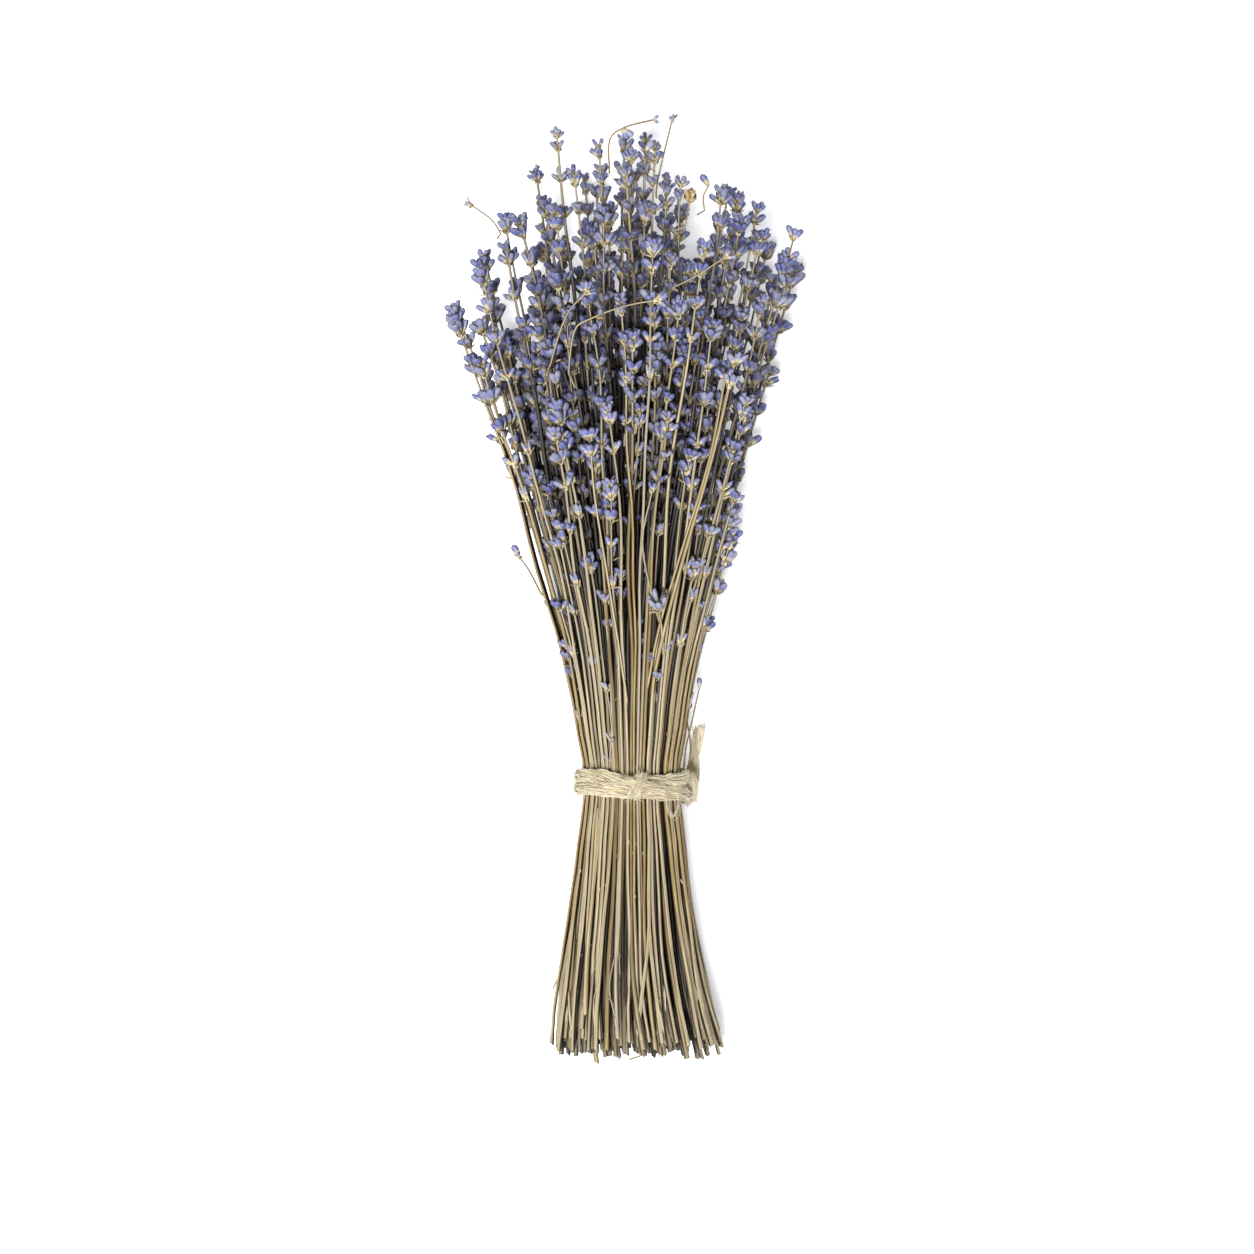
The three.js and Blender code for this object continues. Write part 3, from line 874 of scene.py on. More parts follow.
@dataclass
class StemLine:
    """The middle line of one stem, with what makes it differ from the next."""

    u: float
    v: float
    drift_u: float
    drift_v: float
    tip: float
    cut_end: float
    whorls: list[float]
    lean_u: float = 0.0
    lean_v: float = 0.0
    sway: tuple[float, float, float, float] = (0, 0, 0, 0)
    sway_reach: float = 0.0
    foot_lean: Vector = field(default_factory=Vector)
    girth: float = 1.0
    tone: float = 0.5
    remote_whorl: float = 0.0

    @classmethod
    def placed(
        cls, u: float, v: float, depth: float, below_tip: Sequence[float], chance: PlacingRandom,
        drift: float = END_JITTER,
    ) -> "StemLine":
        """Draws a stem by the placing rule.

        Args:
            u: The place across the bunch.
            v: The place up through it.
            depth: How far below the outline of the heads the tip may end.
            below_tip: How far below the tip the whorls sit.
            chance: The random numbers to draw from.
            drift: How far it may stray from its place on the disc at the far end of the heads.

        Returns:
            The stem.
        """
        u += chance.scatter(WAIST_JITTER)
        v += chance.scatter(WAIST_JITTER)
        drift_u = chance.scatter(drift)
        drift_v = chance.scatter(drift)
        tip = tip_station(u, v, depth, chance)
        cut_end = CUT_END + chance.scatter(CUT_END_SCATTER)
        whorls = [tip - below - chance.scatter(WHORL_SCATTER) for below in below_tip]
        return cls(u, v, drift_u, drift_v, tip, cut_end, whorls)

    def at(self, y: float) -> Vector:
        """The middle line's point at a station.

        Args:
            y: The station.

        Returns:
            The point.
        """
        away = (y - WAIST_Y) / (TIP_MAX - WAIST_Y)
        bend = (max(y - self.tip + SPIKE_LENGTH, 0) / SPIKE_LENGTH) ** LEAN_POWER
        u = self.u + self.drift_u * away + self.lean_u * bend
        v = self.v + self.drift_v * away + self.lean_v * bend
        trim = min(1, blend(1, END_REACH, abs(away)) / max(math.hypot(u, v), 1e-9))
        place = Section.at(y).point(u * trim, v * trim, y)
        slow, quick, slow_start, quick_start = self.sway
        wave = math.sin(slow * y + slow_start) + 0.5 * math.sin(quick * y + quick_start)
        cross = math.cos(slow * y + quick_start) + 0.5 * math.cos(quick * y + slow_start)
        place += Vector((wave, 0, cross)) * self.sway_reach * smoothstep(abs(y - WAIST_Y), *SWAYS_FREELY)
        foot = max(WAIST_Y - FOOT_START - y, 0) / FOOT_LENGTH
        place += self.foot_lean * foot**FOOT_LEAN_POWER + X_AXIS * (FOOT_SWEEP * foot**FOOT_SWEEP_POWER)
        place.z = max(eased_under(place.z, HEAD_KNEE, HEAD_CEILING), self.radius_at(y))
        return place

    def radius_at(self, y: float) -> float:
        """The stem's radius at a station: it tapers slowly, then more within the spike.

        Args:
            y: The station.

        Returns:
            The radius.
        """
        spike = blend(1.0, TIP_GIRTH, smoothstep(y - self.tip, *SLIM_TIP))
        foot = blend(1.0, FOOT_GIRTH, smoothstep(-y, *STOUT_FOOT))
        return STEM_RADIUS * self.girth * blend(1.0, HEAD_GIRTH, max(y, 0) / TIP_MAX) * spike * foot

    def shade_at(self, y: float) -> float:
        """The painted shade of the stem at a station, from 0 outside to 1: it grows deep inside the bunch and
        under its middle, and lifts where light reaches the foot and the tip.

        Args:
            y: The station.

        Returns:
            The share.
        """
        buried = smoothstep(1 - math.hypot(self.u, self.v), *BURIED)
        beneath = BENEATH_SHADE * smoothstep(-self.v, *BENEATH)
        lit_foot = FOOT_LIGHT * smoothstep(-y, *OPEN_FOOT)
        lit_tip = TIP_LIGHT * smoothstep(y - self.tip, *OPEN_TIP)
        return max(buried, beneath) * (1 - lit_foot) * (1 - lit_tip)

    def tone_at(self, y: float) -> float:
        """The stem's tone at a station: it pales towards both its ends, but for the grey ones.

        Args:
            y: The station.

        Returns:
            The tone.
        """
        tip, foot = smoothstep(y - self.tip, *PALE_TIP), smoothstep(-y, *PALE_FOOT)
        paler = self.tone + (TIP_PALENESS * tip + FOOT_PALENESS * foot)
        return self.tone if self.tone > PALEST_STRAW else min(paler, PALEST_STRAW)

    def outward(self, y: float) -> Vector:
        """Which way the stem's open side faces at a station: out of the bunch, and rather up than down; the
        painted shade and highlight of the finishes follow it.

        Args:
            y: The station.

        Returns:
            The direction.
        """
        section = Section.at(y)
        away = section.point(self.u, self.v, y) - section.point(0, 0, y)
        free = smoothstep(y - self.tip, *PALE_TIP)
        away = away.normalized() * blend(1, TIP_FREEDOM, free)
        return (away + Z_AXIS * UPWARD + Y_AXIS * TIP_FREEDOM * free).normalized()

    def along(self, y: float) -> Vector:
        """The direction in which the stem grows at a station."""
        step = 1.5 * MM
        return (self.at(y + step) - self.at(y - step)).normalized()


# Where the photo shows single tips: across and along the bunch in millimetres, and how high on the unit disc.
SHOWN_TIPS = (
    (-33.0, 283.0, 0.4),
    (-12.5, 278.5, 0.5),
    (23.6, 263.0, 0.3),
    (55.0, 251.5, 0.35),
    (47.0, 246.0, 0.55),
    (57.0, 239.5, 0.55),
    (-54.5, 247.5, 0.35),
    (-57.0, 235.5, 0.5),
    (-78.0, 205.0, 0.15),
    (67.0, 229.0, 0.3),
)


@dataclass
class StemLayout:
    """Every stem of the bunch, by sprig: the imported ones, and the finer ones that fill in between them."""

    fillers: int = 180
    filler_tries: int = 24
    filler_depth: float = 185 * MM
    filler_drift: float = 0.13
    filler_drop: float = 36 * MM
    filler_reach: float = 0.95
    room: float = 0.094
    settling_rounds: int = 12
    filler_lean: float = 0.09
    packed_lean: float = 0.02
    foot_lean: float = 2.8 * MM
    outer_share: float = 0.55
    outer_ring: Range = (0.72, 1.0)
    slow_sway: Range = (28, 45)
    quick_sway: Range = (70, 110)
    sway_start: Range = (0, 6.28)
    sway_reach: Range = (0.4, 1.3)
    girth: Triple = (0.58, 1.02, 0.79)
    tone: Range = (0.06, 1.0)
    whorl_counts: tuple[int, ...] = (4, 4, 5, 5, 6)
    whorl_gap: Range = (8.5, 11.5)
    gap_growth: Range = (0.6, 3.6)
    lowest_whorl: Triple = (88 * MM, 168 * MM, 112 * MM)
    remote_share: float = 0.5
    remote_gap: Range = (14, 40)
    lowest_remote: float = 14 * MM
    seed: int = 11

    def sprigs(self) -> list[list[StemLine]]:
        """Lays out the stems.

        Returns:
            The stems of each sprig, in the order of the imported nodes.
        """
        chance = PlacingRandom(SEED)
        sprigs: list[list[StemLine]] = []
        for count, reach in zip(RING_COUNTS, RING_REACH):
            start = chance.draw()
            for i in range(count):
                turn = (i + start) / count * 2 * math.pi
                sprigs.append(self.packed_sprig(reach * math.cos(turn), reach * math.sin(turn), chance))
        self.fill(sprigs)
        return sprigs

    def packed_sprig(self, u: float, v: float, chance: PlacingRandom) -> list[StemLine]:
        """The three packed stems of one sprig, with the whorls that the plain ones leave out.

        Args:
            u: The sprig's place across the bunch.
            v: Its place up through the bunch.
            chance: The random numbers to draw from.

        Returns:
            The stems.
        """
        facing = chance.draw() * 2 * math.pi
        stems = []
        for k in range(3):
            angle = facing + k * 2 * math.pi / 3
            place = (u + SPRIG_REACH * math.sin(angle), v + SPRIG_REACH * math.cos(angle))
            rule = (COMPANION_TIP_DEPTH, COMPANION_WHORLS_BELOW_TIP) if k else (TIP_DEPTH, WHORLS_BELOW_TIP)
            stems.append(StemLine.placed(*place, *rule, chance))
        return stems

    def fill(self, sprigs: list[list[StemLine]]) -> None:
        """Adds the finer stems, each where the others leave most room, and gives every stem its own ways.

        Args:
            sprigs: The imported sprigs, which get the new stems too.
        """
        own = random.Random(self.seed)
        chance = PlacingRandom(self.seed)
        middles = [(sum(s.u for s in stems) / 3, sum(s.v for s in stems) / 3) for stems in sprigs]
        packed = [stem for stems in sprigs for stem in stems]
        for x, tip, v in SHOWN_TIPS:
            u = x * MM / Section.at(tip * MM).half_width
            nearest = min(range(len(middles)), key=lambda i: math.dist((u, v), middles[i]))
            shown = StemLine(u, v, 0, 0, tip * MM, CUT_END + own.uniform(0, 2) * MM, [])
            sprigs[nearest].append(shown)
            packed.append(shown)
        taken = [(stem.u, stem.v) for stem in packed]
        for _ in range(self.fillers):
            tries = []
            for _ in range(self.filler_tries):
                turn = own.uniform(0, 2 * math.pi)
                is_outer = own.random() <= self.outer_share
                reach = own.uniform(*self.outer_ring) if is_outer else math.sqrt(own.random())
                place = (reach * math.cos(turn), reach * math.sin(turn))
                tries.append((min(math.dist(place, other) for other in taken), place))
            taken.append(max(tries)[1])
        for place in self.spaced(taken, len(packed)):
            nearest = min(range(len(middles)), key=lambda i: math.dist(place, middles[i]))
            stem = StemLine.placed(*place, self.filler_depth, (), chance, self.filler_drift)
            stem.cut_end += own.triangular(0, 7, 0.5) * MM
            sprigs[nearest].append(stem)
        for stems in sprigs:
            for stem in stems:
                is_packed = stem in packed
                self.vary(stem, own, self.packed_lean if is_packed else self.filler_lean)
                if not is_packed:
                    self.fit_tip(stem)
                self.add_whorls(stem, own)

    def spaced(self, places: list[tuple[float, float]], fixed: int) -> list[tuple[float, float]]:
        """Pushes the finer stems apart under the twine, as far as there is room.

        Args:
            places: The places of all stems on the unit disc.
            fixed: How many of them, from the first, stay where they are.

        Returns:
            The new places of the others.
        """
        spots = np.array(places)
        for _ in range(self.settling_rounds):
            gaps = spots[:, None] - spots[None]
            apart = np.maximum(np.hypot(gaps[..., 0], gaps[..., 1]), 1e-6)
            push = np.clip(self.room - apart, 0, None) * 0.5
            np.fill_diagonal(push, 0)
            shift = (gaps / apart[..., None] * push[..., None]).sum(axis=1)
            spots[fixed:] += shift[fixed:]
            reach = np.maximum(np.hypot(spots[:, 0], spots[:, 1]), 1e-6)
            spots[fixed:] *= np.minimum(1, self.filler_reach / reach)[fixed:, None]
        return [(float(u), float(v)) for u, v in spots[fixed:]]

    def fit_tip(self, stem: StemLine) -> None:
        """Ends a finer stem inside the outline of the heads, which falls away to the sides.

        Args:
            stem: The stem.
        """
        side = min(abs(stem.u + stem.drift_u + stem.lean_u), END_REACH)
        stem.tip = min(stem.tip, TIP_MAX - TIP_SIDE_DROP * side**1.5) - self.filler_drop

    def vary(self, stem: StemLine, own: random.Random, lean: float) -> None:
        """Gives a stem its sway, lean, girth and tone.

        Args:
            stem: The stem.
            own: The random numbers to draw from.
            lean: How far its tip may lean, as a share of the bunch's half width.
        """
        speeds = (own.uniform(*self.slow_sway), own.uniform(*self.quick_sway))
        stem.sway = (*speeds, own.uniform(*self.sway_start), own.uniform(*self.sway_start))
        stem.sway_reach = own.uniform(*self.sway_reach) * MM
        stem.lean_u = own.uniform(-lean, lean)
        stem.lean_v = own.uniform(-lean, lean)
        foot = self.foot_lean
        inward = 0.7 * foot * stem.u
        stem.foot_lean = Vector((own.uniform(-foot, foot) - inward, 0, own.uniform(-foot, foot) * 0.7))
        stem.girth = own.triangular(*self.girth)
        stem.tone = own.uniform(*self.tone)

    def add_whorls(self, stem: StemLine, own: random.Random) -> None:
        """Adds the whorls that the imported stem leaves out, further apart down the spike.

        Args:
            stem: The stem.
            own: The random numbers to draw from.
        """
        wanted = own.choice(self.whorl_counts)
        gap = own.uniform(*self.whorl_gap) * MM
        last = stem.whorls[-1] if stem.whorls else stem.tip
        lowest = own.triangular(*self.lowest_whorl)
        while len(stem.whorls) < wanted and last - gap > lowest:
            last -= gap
            stem.whorls.append(last)
            gap += own.uniform(*self.gap_growth) * MM
        remote = last - own.uniform(*self.remote_gap) * MM
        if own.random() < self.remote_share and remote > self.lowest_remote:
            stem.remote_whorl = remote


# What repeats: calyces, bracts, petals and cut ends.


def ring_mesh(name: str, rings: Sequence[Sequence[Vector]], start: Vector, end: Vector) -> Mesh:
    """A closed surface through rings of as many points, with a point at each end.

    Args:
        name: The mesh's name.
        rings: The rings, from the start to the end, anticlockwise as seen from the end.
        start: The point that closes the first ring.
        end: The point that closes the last ring.

    Returns:
        The mesh.
    """
    sides = len(rings[0])
    points = [*(point for ring in rings for point in ring), start, end]
    first, last = len(points) - 2, len(points) - 1
    top = (len(rings) - 1) * sides
    faces: list[tuple[int, ...]] = []
    for k in range(sides):
        after = (k + 1) % sides
        faces.append((after, k, first))
        faces.append((top + k, top + after, last))
        for row in range(0, top, sides):
            faces.append((row + k, row + after, row + sides + after, row + sides + k))
    mesh = bpy.data.meshes.new(name)
    mesh.from_pydata([tuple(point) for point in points], [], faces)
    mesh.shade_smooth()
    return mesh


def store_place(mesh: Mesh, places: Iterable[tuple[float, float, float]]) -> None:
    """Keeps the surface's own coordinates, which the finishes read."""
    flat = np.array(list(places), np.float32).ravel()
    mesh.attributes.new("place", VECTOR, "POINT").data.foreach_set("vector", flat)


def variants(name: str, meshes: Sequence[Mesh]) -> Collection:
    """Keeps shapes for a tree to pick from, out of the scene.

    Args:
        name: The collection's name.
        meshes: The shapes, in the order of their numbers.

    Returns:
        The collection.
    """
    kept = bpy.data.collections.new(name)
    for number, mesh in enumerate(meshes):
        kept.objects.link(bpy.data.objects.new(f"{name}_{number}", mesh))
    return kept


class CalyxForm(Enum):
    """How a calyx dried: its profile by share of length and of radius, its bend and its mouth's depth."""

    BLUNT = (((0, 0.34), (0.3, 0.78), (0.7, 1.0), (0.94, 0.82)), 0.08, -0.06)
    TOOTHED = (((0, 0.34), (0.34, 0.76), (0.74, 0.98), (1.0, 0.84)), 0.02, 0.14)
    POINTED = (((0, 0.34), (0.3, 0.78), (0.66, 0.96), (0.92, 0.52)), -0.06, -0.07)
    CURVED = (((0, 0.36), (0.32, 0.8), (0.72, 1.0), (0.95, 0.8)), 0.24, -0.05)
    SLENDER = (((0, 0.4), (0.3, 0.68), (0.68, 0.76), (0.95, 0.46)), 0.16, -0.04)
    ROUND = (((0, 0.45), (0.22, 0.9), (0.6, 1.0), (0.88, 0.66)), 0.0, -0.06)


# How often a whorl has each of the first four forms; the slender one is for bleached calyces.
CALYX_ODDS = (6, 2, 2, 4)
BLEACHED_FORM = list(CalyxForm).index(CalyxForm.SLENDER)


@dataclass(frozen=True)
class Calyx:
    """One dried calyx, a ribbed tube that stands on its root along +Z."""

    length: float = 6.0 * MM
    radius: float = 1.65 * MM
    flattening: float = 0.84
    sides: int = 6
    tooth: float = 0.1

    def mesh(self, form: CalyxForm) -> Mesh:
        """Builds a calyx.

        Args:
            form: How it dried.

        Returns:
            Its mesh.
        """
        profile, bend, dent = form.value
        rings, places = [], []
        for number, (share, width) in enumerate(profile):
            ring = []
            for k in range(self.sides):
                angle = 2 * math.pi * k / self.sides
                is_mouth = number == len(profile) - 1
                rise = share - (self.tooth * (k % 2) if is_mouth and dent > 0 else 0)
                across = self.radius * width
                x = across * math.cos(angle) + bend * share * share * self.length
                y = across * math.sin(angle) * self.flattening
                ring.append(Vector((x, y, rise * self.length)))
                places.append((math.cos(angle), math.sin(angle), share))
            rings.append(ring)
        end = Vector((bend * self.length, 0, (1 - dent) * self.length))
        places.extend([(1, 0, 0), (1, 0, 1.15)])
        mesh = ring_mesh(f"calyx_{form.name.lower()}", rings, Vector((0, 0, -0.02 * self.length)), end)
        store_place(mesh, places)
        return mesh


@dataclass(frozen=True)
class Leaflet:
    """A thin papery blade that stands on its root along +Z and cups towards -Y: a bract or a dried petal."""

    length: float
    half_width: float
    cup: float
    curl: float
    thickness: float = 0.16 * MM
    outline: tuple[Range, ...] = ((0, 0.42), (0.3, 1.0), (0.62, 0.82), (0.86, 0.36))

    def mesh(self, name: str) -> Mesh:
        """Builds the blade.

        Args:
            name: The mesh's name.

        Returns:
            Its mesh, closed, with two faces and a rim.
        """
        rings, places = [], []
        for share, width in self.outline:
            back = self.curl * share * share * self.length
            half = self.half_width * width
            rise = back + self.cup * half
            corners = [(1, back), (0, rise), (-1, back), (0, rise - self.thickness)]
            rings.append([Vector((across * half, depth, share * self.length)) for across, depth in corners])
            places.extend((across * width * 0.5, 0, share) for across, _ in corners)
        tip = Vector((0, self.curl * self.length, self.length))
        places.extend([(0, 0, 0), (0, 0, 1)])
        mesh = ring_mesh(name, rings, Vector((0, 0, -0.04 * self.length)), tip)
        store_place(mesh, places)
        return mesh


class Papery(IntEnum):
    """The shapes that the bracts' piece is made of, by their places in its collection."""

    BROAD_BRACT = 0
    NARROW_BRACT = 1
    PETAL = 2
    HUSK = 3


class CutForm(Enum):
    """How a stem's end was cut: the depth of its rim at each of its eight sides, in stem radii."""

    CLEAN = (1.9, 1.9, 2.0, 2.0, 2.0, 2.0, 2.0, 1.9)
    SLANTED = (1.7, 1.8, 2.0, 2.2, 2.3, 2.2, 2.0, 1.8)
    SPLINTERED = (1.9, 2.0, 2.9, 1.9, 2.0, 1.8, 2.6, 2.1)
    TORN = (2.7, 2.0, 1.8, 2.0, 1.7, 2.1, 2.5, 3.2)


@dataclass(frozen=True)
class CutEnd:
    """The end of a cut stem, one radius wide: a rim round the hollow left by the dried core, whose inside gets
    painted shade.
    """

    wall: float = 0.42
    sleeve: float = 1.04
    overlap: float = 2.0
    hollow_depth: float = 0.4

    def mesh(self, form: CutForm) -> Mesh:
        """Builds an end whose rim reaches down -Z.

        Args:
            form: How the stem was cut.

        Returns:
            Its mesh.
        """
        depths = form.value
        sides = len(depths)
        inner = 1 - self.wall
        # Each row: its reach, its depths, and how much painted shade it gets.
        rows = [
            (inner, [-self.hollow_depth] * sides, 1),
            (inner, [depth - 0.25 for depth in depths], 0.8),
            (self.sleeve, depths, 0),
            (self.sleeve, [0] * sides, 0),
            (0.98, [-self.overlap] * sides, 0),
        ]
        rings, places, painted_hollow_shade = [], [], []
        for reach, row, dark in rows:
            ring = []
            for k, depth in enumerate(row):
                angle = 2 * math.pi * k / sides
                ring.append(Vector((reach * math.cos(angle), reach * math.sin(angle), -depth)))
                places.append((math.cos(angle), math.sin(angle), depth * STEM_RADIUS))
                painted_hollow_shade.append(dark)
            rings.append(ring)
        places.extend([(1, 0, 0), (1, 0, 0)])
        painted_hollow_shade.extend([1, 0])
        start = Vector((0, 0, self.hollow_depth))
        mesh = ring_mesh(f"cut_{form.name.lower()}", rings, start, Vector((0, 0, self.overlap)))
        mesh.set_sharp_from_angle(angle=math.radians(55))
        store_place(mesh, places)
        mesh.attributes.new("painted_hollow_shade", "FLOAT", "POINT").data.foreach_set("value", np.array(painted_hollow_shade, np.float32))
        return mesh


# The trees.


# How far apart two stems of neighbouring tones read their streaks, so that no two look alike.
PATTERN_SPREAD = 40.0

# How the rovings of a strand differ from each other.
WANDERS_IN_A_METRE = 170.0
WANDERS_APART = 3.7
STREAKS_APART = 5.0
THINNEST_ROVING = 0.75
ROVING_RANGE = 0.5


def stem_tree() -> GrowthTree:
    """A tree that sweeps a ridged section along lines and sets a cut end on the start of each that has one.

    Returns:
        The tree. Its lines carry thickness, tone and start, and cut where they start in a cut end.
    """
    inputs = {"Sides": "Int", "Groove": "Float", "Twist": "Float", "Cut ends": "Collection", "Seed": "Int"}
    growth = GrowthTree("ridged_stems", inputs)
    add = growth.add
    circle = add("GeometryNodeCurvePrimitiveCircle", {"Resolution": growth["Sides"], "Radius": 1.0})
    corner = add("GeometryNodeInputPosition")
    number = add("GeometryNodeInputIndex")
    is_odd = add(MATH, {0: number, 1: 2.0}, operation="MODULO")
    inward = add(MATH, {0: is_odd, 1: growth["Groove"]}, operation="MULTIPLY")
    reach = add(MATH, {0: 1.0, 1: inward}, operation="SUBTRACT")
    grooved = add(VECTOR_MATH, {0: corner, "Scale": reach}, operation="SCALE")
    section = add("GeometryNodeSetPosition", {"Geometry": circle, "Position": grooved})
    section = add(STORE, {"Geometry": section, "Name": "section", "Value": corner}, data_type=VECTOR)
    names = ("thickness", "start", "cut")
    thickness, start, is_cut = [add(READ, {"Name": name}, data_type="FLOAT") for name in names]
    length = add("GeometryNodeSplineParameter").outputs["Length"]
    along = add(MATH, {0: start, 1: length}, operation="ADD")
    line = add("GeometryNodeMeshToCurve", {"Mesh": growth["Guide"]})
    line = add(STORE, {"Geometry": line, "Name": "along", "Value": along}, data_type="FLOAT")
    tilt = add(MATH, {0: along, 1: growth["Twist"]}, operation="MULTIPLY")
    line = add("GeometryNodeSetCurveTilt", {"Curve": line, "Tilt": tilt})
    first = add("GeometryNodeCurveEndpointSelection", {"Start Size": 1, "End Size": 0})
    chosen = add(MATH, {0: first, 1: is_cut}, operation="MULTIPLY")
    tangent = add("GeometryNodeInputTangent")
    facing = add("FunctionNodeAlignRotationToVector", {"Vector": tangent}, axis="Z")
    forms = {"Seed": growth["Seed"], "Min_002": 0, "Max_002": len(CutForm) - 1}
    form = add("FunctionNodeRandomValue", forms, data_type="INT")
    joined = add("GeometryNodeJoinGeometry", {"Geometry": growth.sweep(line, section, thickness)})
    ends = growth.set_on(line, "Cut ends", form, facing, thickness, chosen)
    growth.tree.links.new(ends.outputs["Instances"], joined.inputs["Geometry"])
    return growth.end(joined)


def repeat_tree() -> GrowthTree:
    """A tree that sets one of several shapes on each point.

    Returns:
        The tree. Its points carry heading, side, size, form and tone.
    """
    growth = GrowthTree("set_on_points", {"Shapes": "Collection"})
    add = growth.add
    points = add("GeometryNodeMeshToPoints", {"Mesh": growth["Guide"]})
    names = ("heading", "side", "size")
    heading, side, size = [add(READ, {"Name": name}, data_type=VECTOR) for name in names]
    form = add(READ, {"Name": "form"}, data_type="INT")
    axes = {"Primary Axis": heading, "Secondary Axis": side}
    facing = add("FunctionNodeAxesToRotation", axes, primary_axis="Z", secondary_axis="Y")
    return growth.end(growth.set_on(points, "Shapes", form, facing, size))


def strand_tree() -> GrowthTree:
    """A tree that spins rovings of fibre round the middle line of a strand.

    Returns:
        The tree. Its lines carry width_axis, half_width and half_depth.
    """
    sizes = ("Pitch", "Roving radius", "Unevenness", "Step")
    growth = GrowthTree("spun_strand", {"Rovings": "Int", **dict.fromkeys(sizes, "Float"), "Seed": "Int"})
    add = growth.add
    line = add("GeometryNodeMeshToCurve", {"Mesh": growth["Guide"]})
    line = add("GeometryNodeResampleCurve", {"Curve": line, "Length": growth["Step"]}, mode="LENGTH")
    many = {"Geometry": line, "Amount": growth["Rovings"]}
    copies = add("GeometryNodeDuplicateElements", many, domain="SPLINE")
    number = copies.outputs["Duplicate Index"]
    length = add("GeometryNodeSplineParameter").outputs["Length"]

    # Each roving's place in the strand's section, which turns along the strand.
    turns = add(MATH, {0: length, 1: growth["Pitch"]}, operation="DIVIDE")
    own_turn = add(MATH, {0: number, 1: GOLDEN_ANGLE}, operation="MULTIPLY")
    angle = add(MATH, {0: turns, 1: 2 * math.pi, 2: own_turn}, operation="MULTIPLY_ADD")
    counted = add(MATH, {0: number, 1: 0.5}, operation="ADD")
    filled = add(MATH, {0: counted, 1: growth["Rovings"]}, operation="DIVIDE")
    reach = add(MATH, {0: filled}, operation="SQRT")
    names = ("half_width", "half_depth")
    half_width, half_depth = [add(READ, {"Name": name}, data_type="FLOAT") for name in names]
    axis = add(READ, {"Name": "width_axis"}, data_type=VECTOR)
    tangent = add("GeometryNodeInputTangent")
    out = add(VECTOR_MATH, {0: tangent, 1: axis}, operation="CROSS_PRODUCT")
    out = add(VECTOR_MATH, {0: out}, operation="NORMALIZE")
    parts = []
    for wave, half, direction in (("COSINE", half_width, axis), ("SINE", half_depth, out)):
        share = add(MATH, {0: angle}, operation=wave)
        share = add(MATH, {0: share, 1: reach}, operation="MULTIPLY")
        share = add(MATH, {0: share, 1: half}, operation="MULTIPLY")
        parts.append(add(VECTOR_MATH, {0: direction, "Scale": share}, operation="SCALE"))
    offset = add(VECTOR_MATH, {0: parts[0], 1: parts[1]}, operation="ADD")

    # Hand-spun jute is uneven, so each roving wanders.
    where = add("GeometryNodeInputPosition")
    apart = add(MATH, {0: number, 1: WANDERS_APART, 2: growth["Seed"]}, operation="MULTIPLY_ADD")
    noise = {"Vector": where, "W": apart, "Scale": WANDERS_IN_A_METRE, "Detail": 2.0}
    wander = add("ShaderNodeTexNoise", noise, noise_dimensions="4D").outputs["Color"]
    centred = add(VECTOR_MATH, {0: wander, 1: (0.5, 0.5, 0.5)}, operation="SUBTRACT")
    uneven = {0: centred, "Scale": growth["Unevenness"]}
    wandered = add(VECTOR_MATH, uneven, operation="SCALE")
    offset = add(VECTOR_MATH, {0: offset, 1: wandered}, operation="ADD")
    rovings = add("GeometryNodeSetPosition", {"Geometry": copies, "Offset": offset})

    drawn = {"ID": number, "Seed": growth["Seed"], "Min_001": 0.0, "Max_001": 1.0}
    tone = add("FunctionNodeRandomValue", drawn)
    rovings = add(STORE, {"Geometry": rovings, "Name": "tone", "Value": tone}, data_type="FLOAT")
    along = add(MATH, {0: tone, 1: STREAKS_APART, 2: length}, operation="MULTIPLY_ADD")
    rovings = add(STORE, {"Geometry": rovings, "Name": "along", "Value": along}, data_type="FLOAT")
    circle = add("GeometryNodeCurvePrimitiveCircle", {"Resolution": 5, "Radius": 1.0})
    corner = add("GeometryNodeInputPosition")
    section = add(STORE, {"Geometry": circle, "Name": "section", "Value": corner}, data_type=VECTOR)
    girth = {0: tone, 1: ROVING_RANGE, 2: THINNEST_ROVING}
    girth = add(MATH, girth, operation="MULTIPLY_ADD")
    girth = add(MATH, {0: girth, 1: growth["Roving radius"]}, operation="MULTIPLY")
    return growth.end(growth.sweep(rovings, section, girth))


# The flower heads.


@dataclass
class SetPieces:
    """The shapes that repeat_tree sets, and the painted shade that the next ones get for lying deep in the
    bunch.
    """

    guide: Guide = field(default_factory=Guide)
    shade: float = 0.0
    outward: Vector = field(default_factory=Z_AXIS.copy)

    def put(self, place: Vector, heading: Vector, side: Vector, size: Vector, form: int, tone: float) -> None:
        """Adds one shape.

        Args:
            place: Where its root is.
            heading: Where its +Z points.
            side: Where its +Y roughly points.
            size: Its scale along X, Y and Z.
            form: Which of the shapes it is.
            tone: What its finish varies by, from 0 to 1.
        """
        ways = {"heading": heading, "side": side, "size": size, "outward": self.outward}
        self.guide.add(place, **ways, form=form, tone=tone, shade=self.shade)


@dataclass(frozen=True)
class Twig:
    """A thin stalk that strays from the bunch.

    Its route is in millimetres across and along the bunch, with its height as a share of the bunch's there.
    A whorl is (share of the way, size, calyces, paleness), a bud (share of the way, size, turn in degrees).
    """

    route: tuple[Triple, ...]
    radius: float
    tone: float
    whorls: tuple[tuple[float, float, int, float], ...] = ()
    buds: tuple[Triple, ...] = ()
    has_husk: bool = False
    is_cut: bool = False

    def line(self) -> list[Vector]:
        """Its middle line."""
        places = [(x * MM, y * MM, Section.at(y * MM).top_at(x * MM) * share) for x, y, share in self.route]
        return catmull_rom(places, 4)


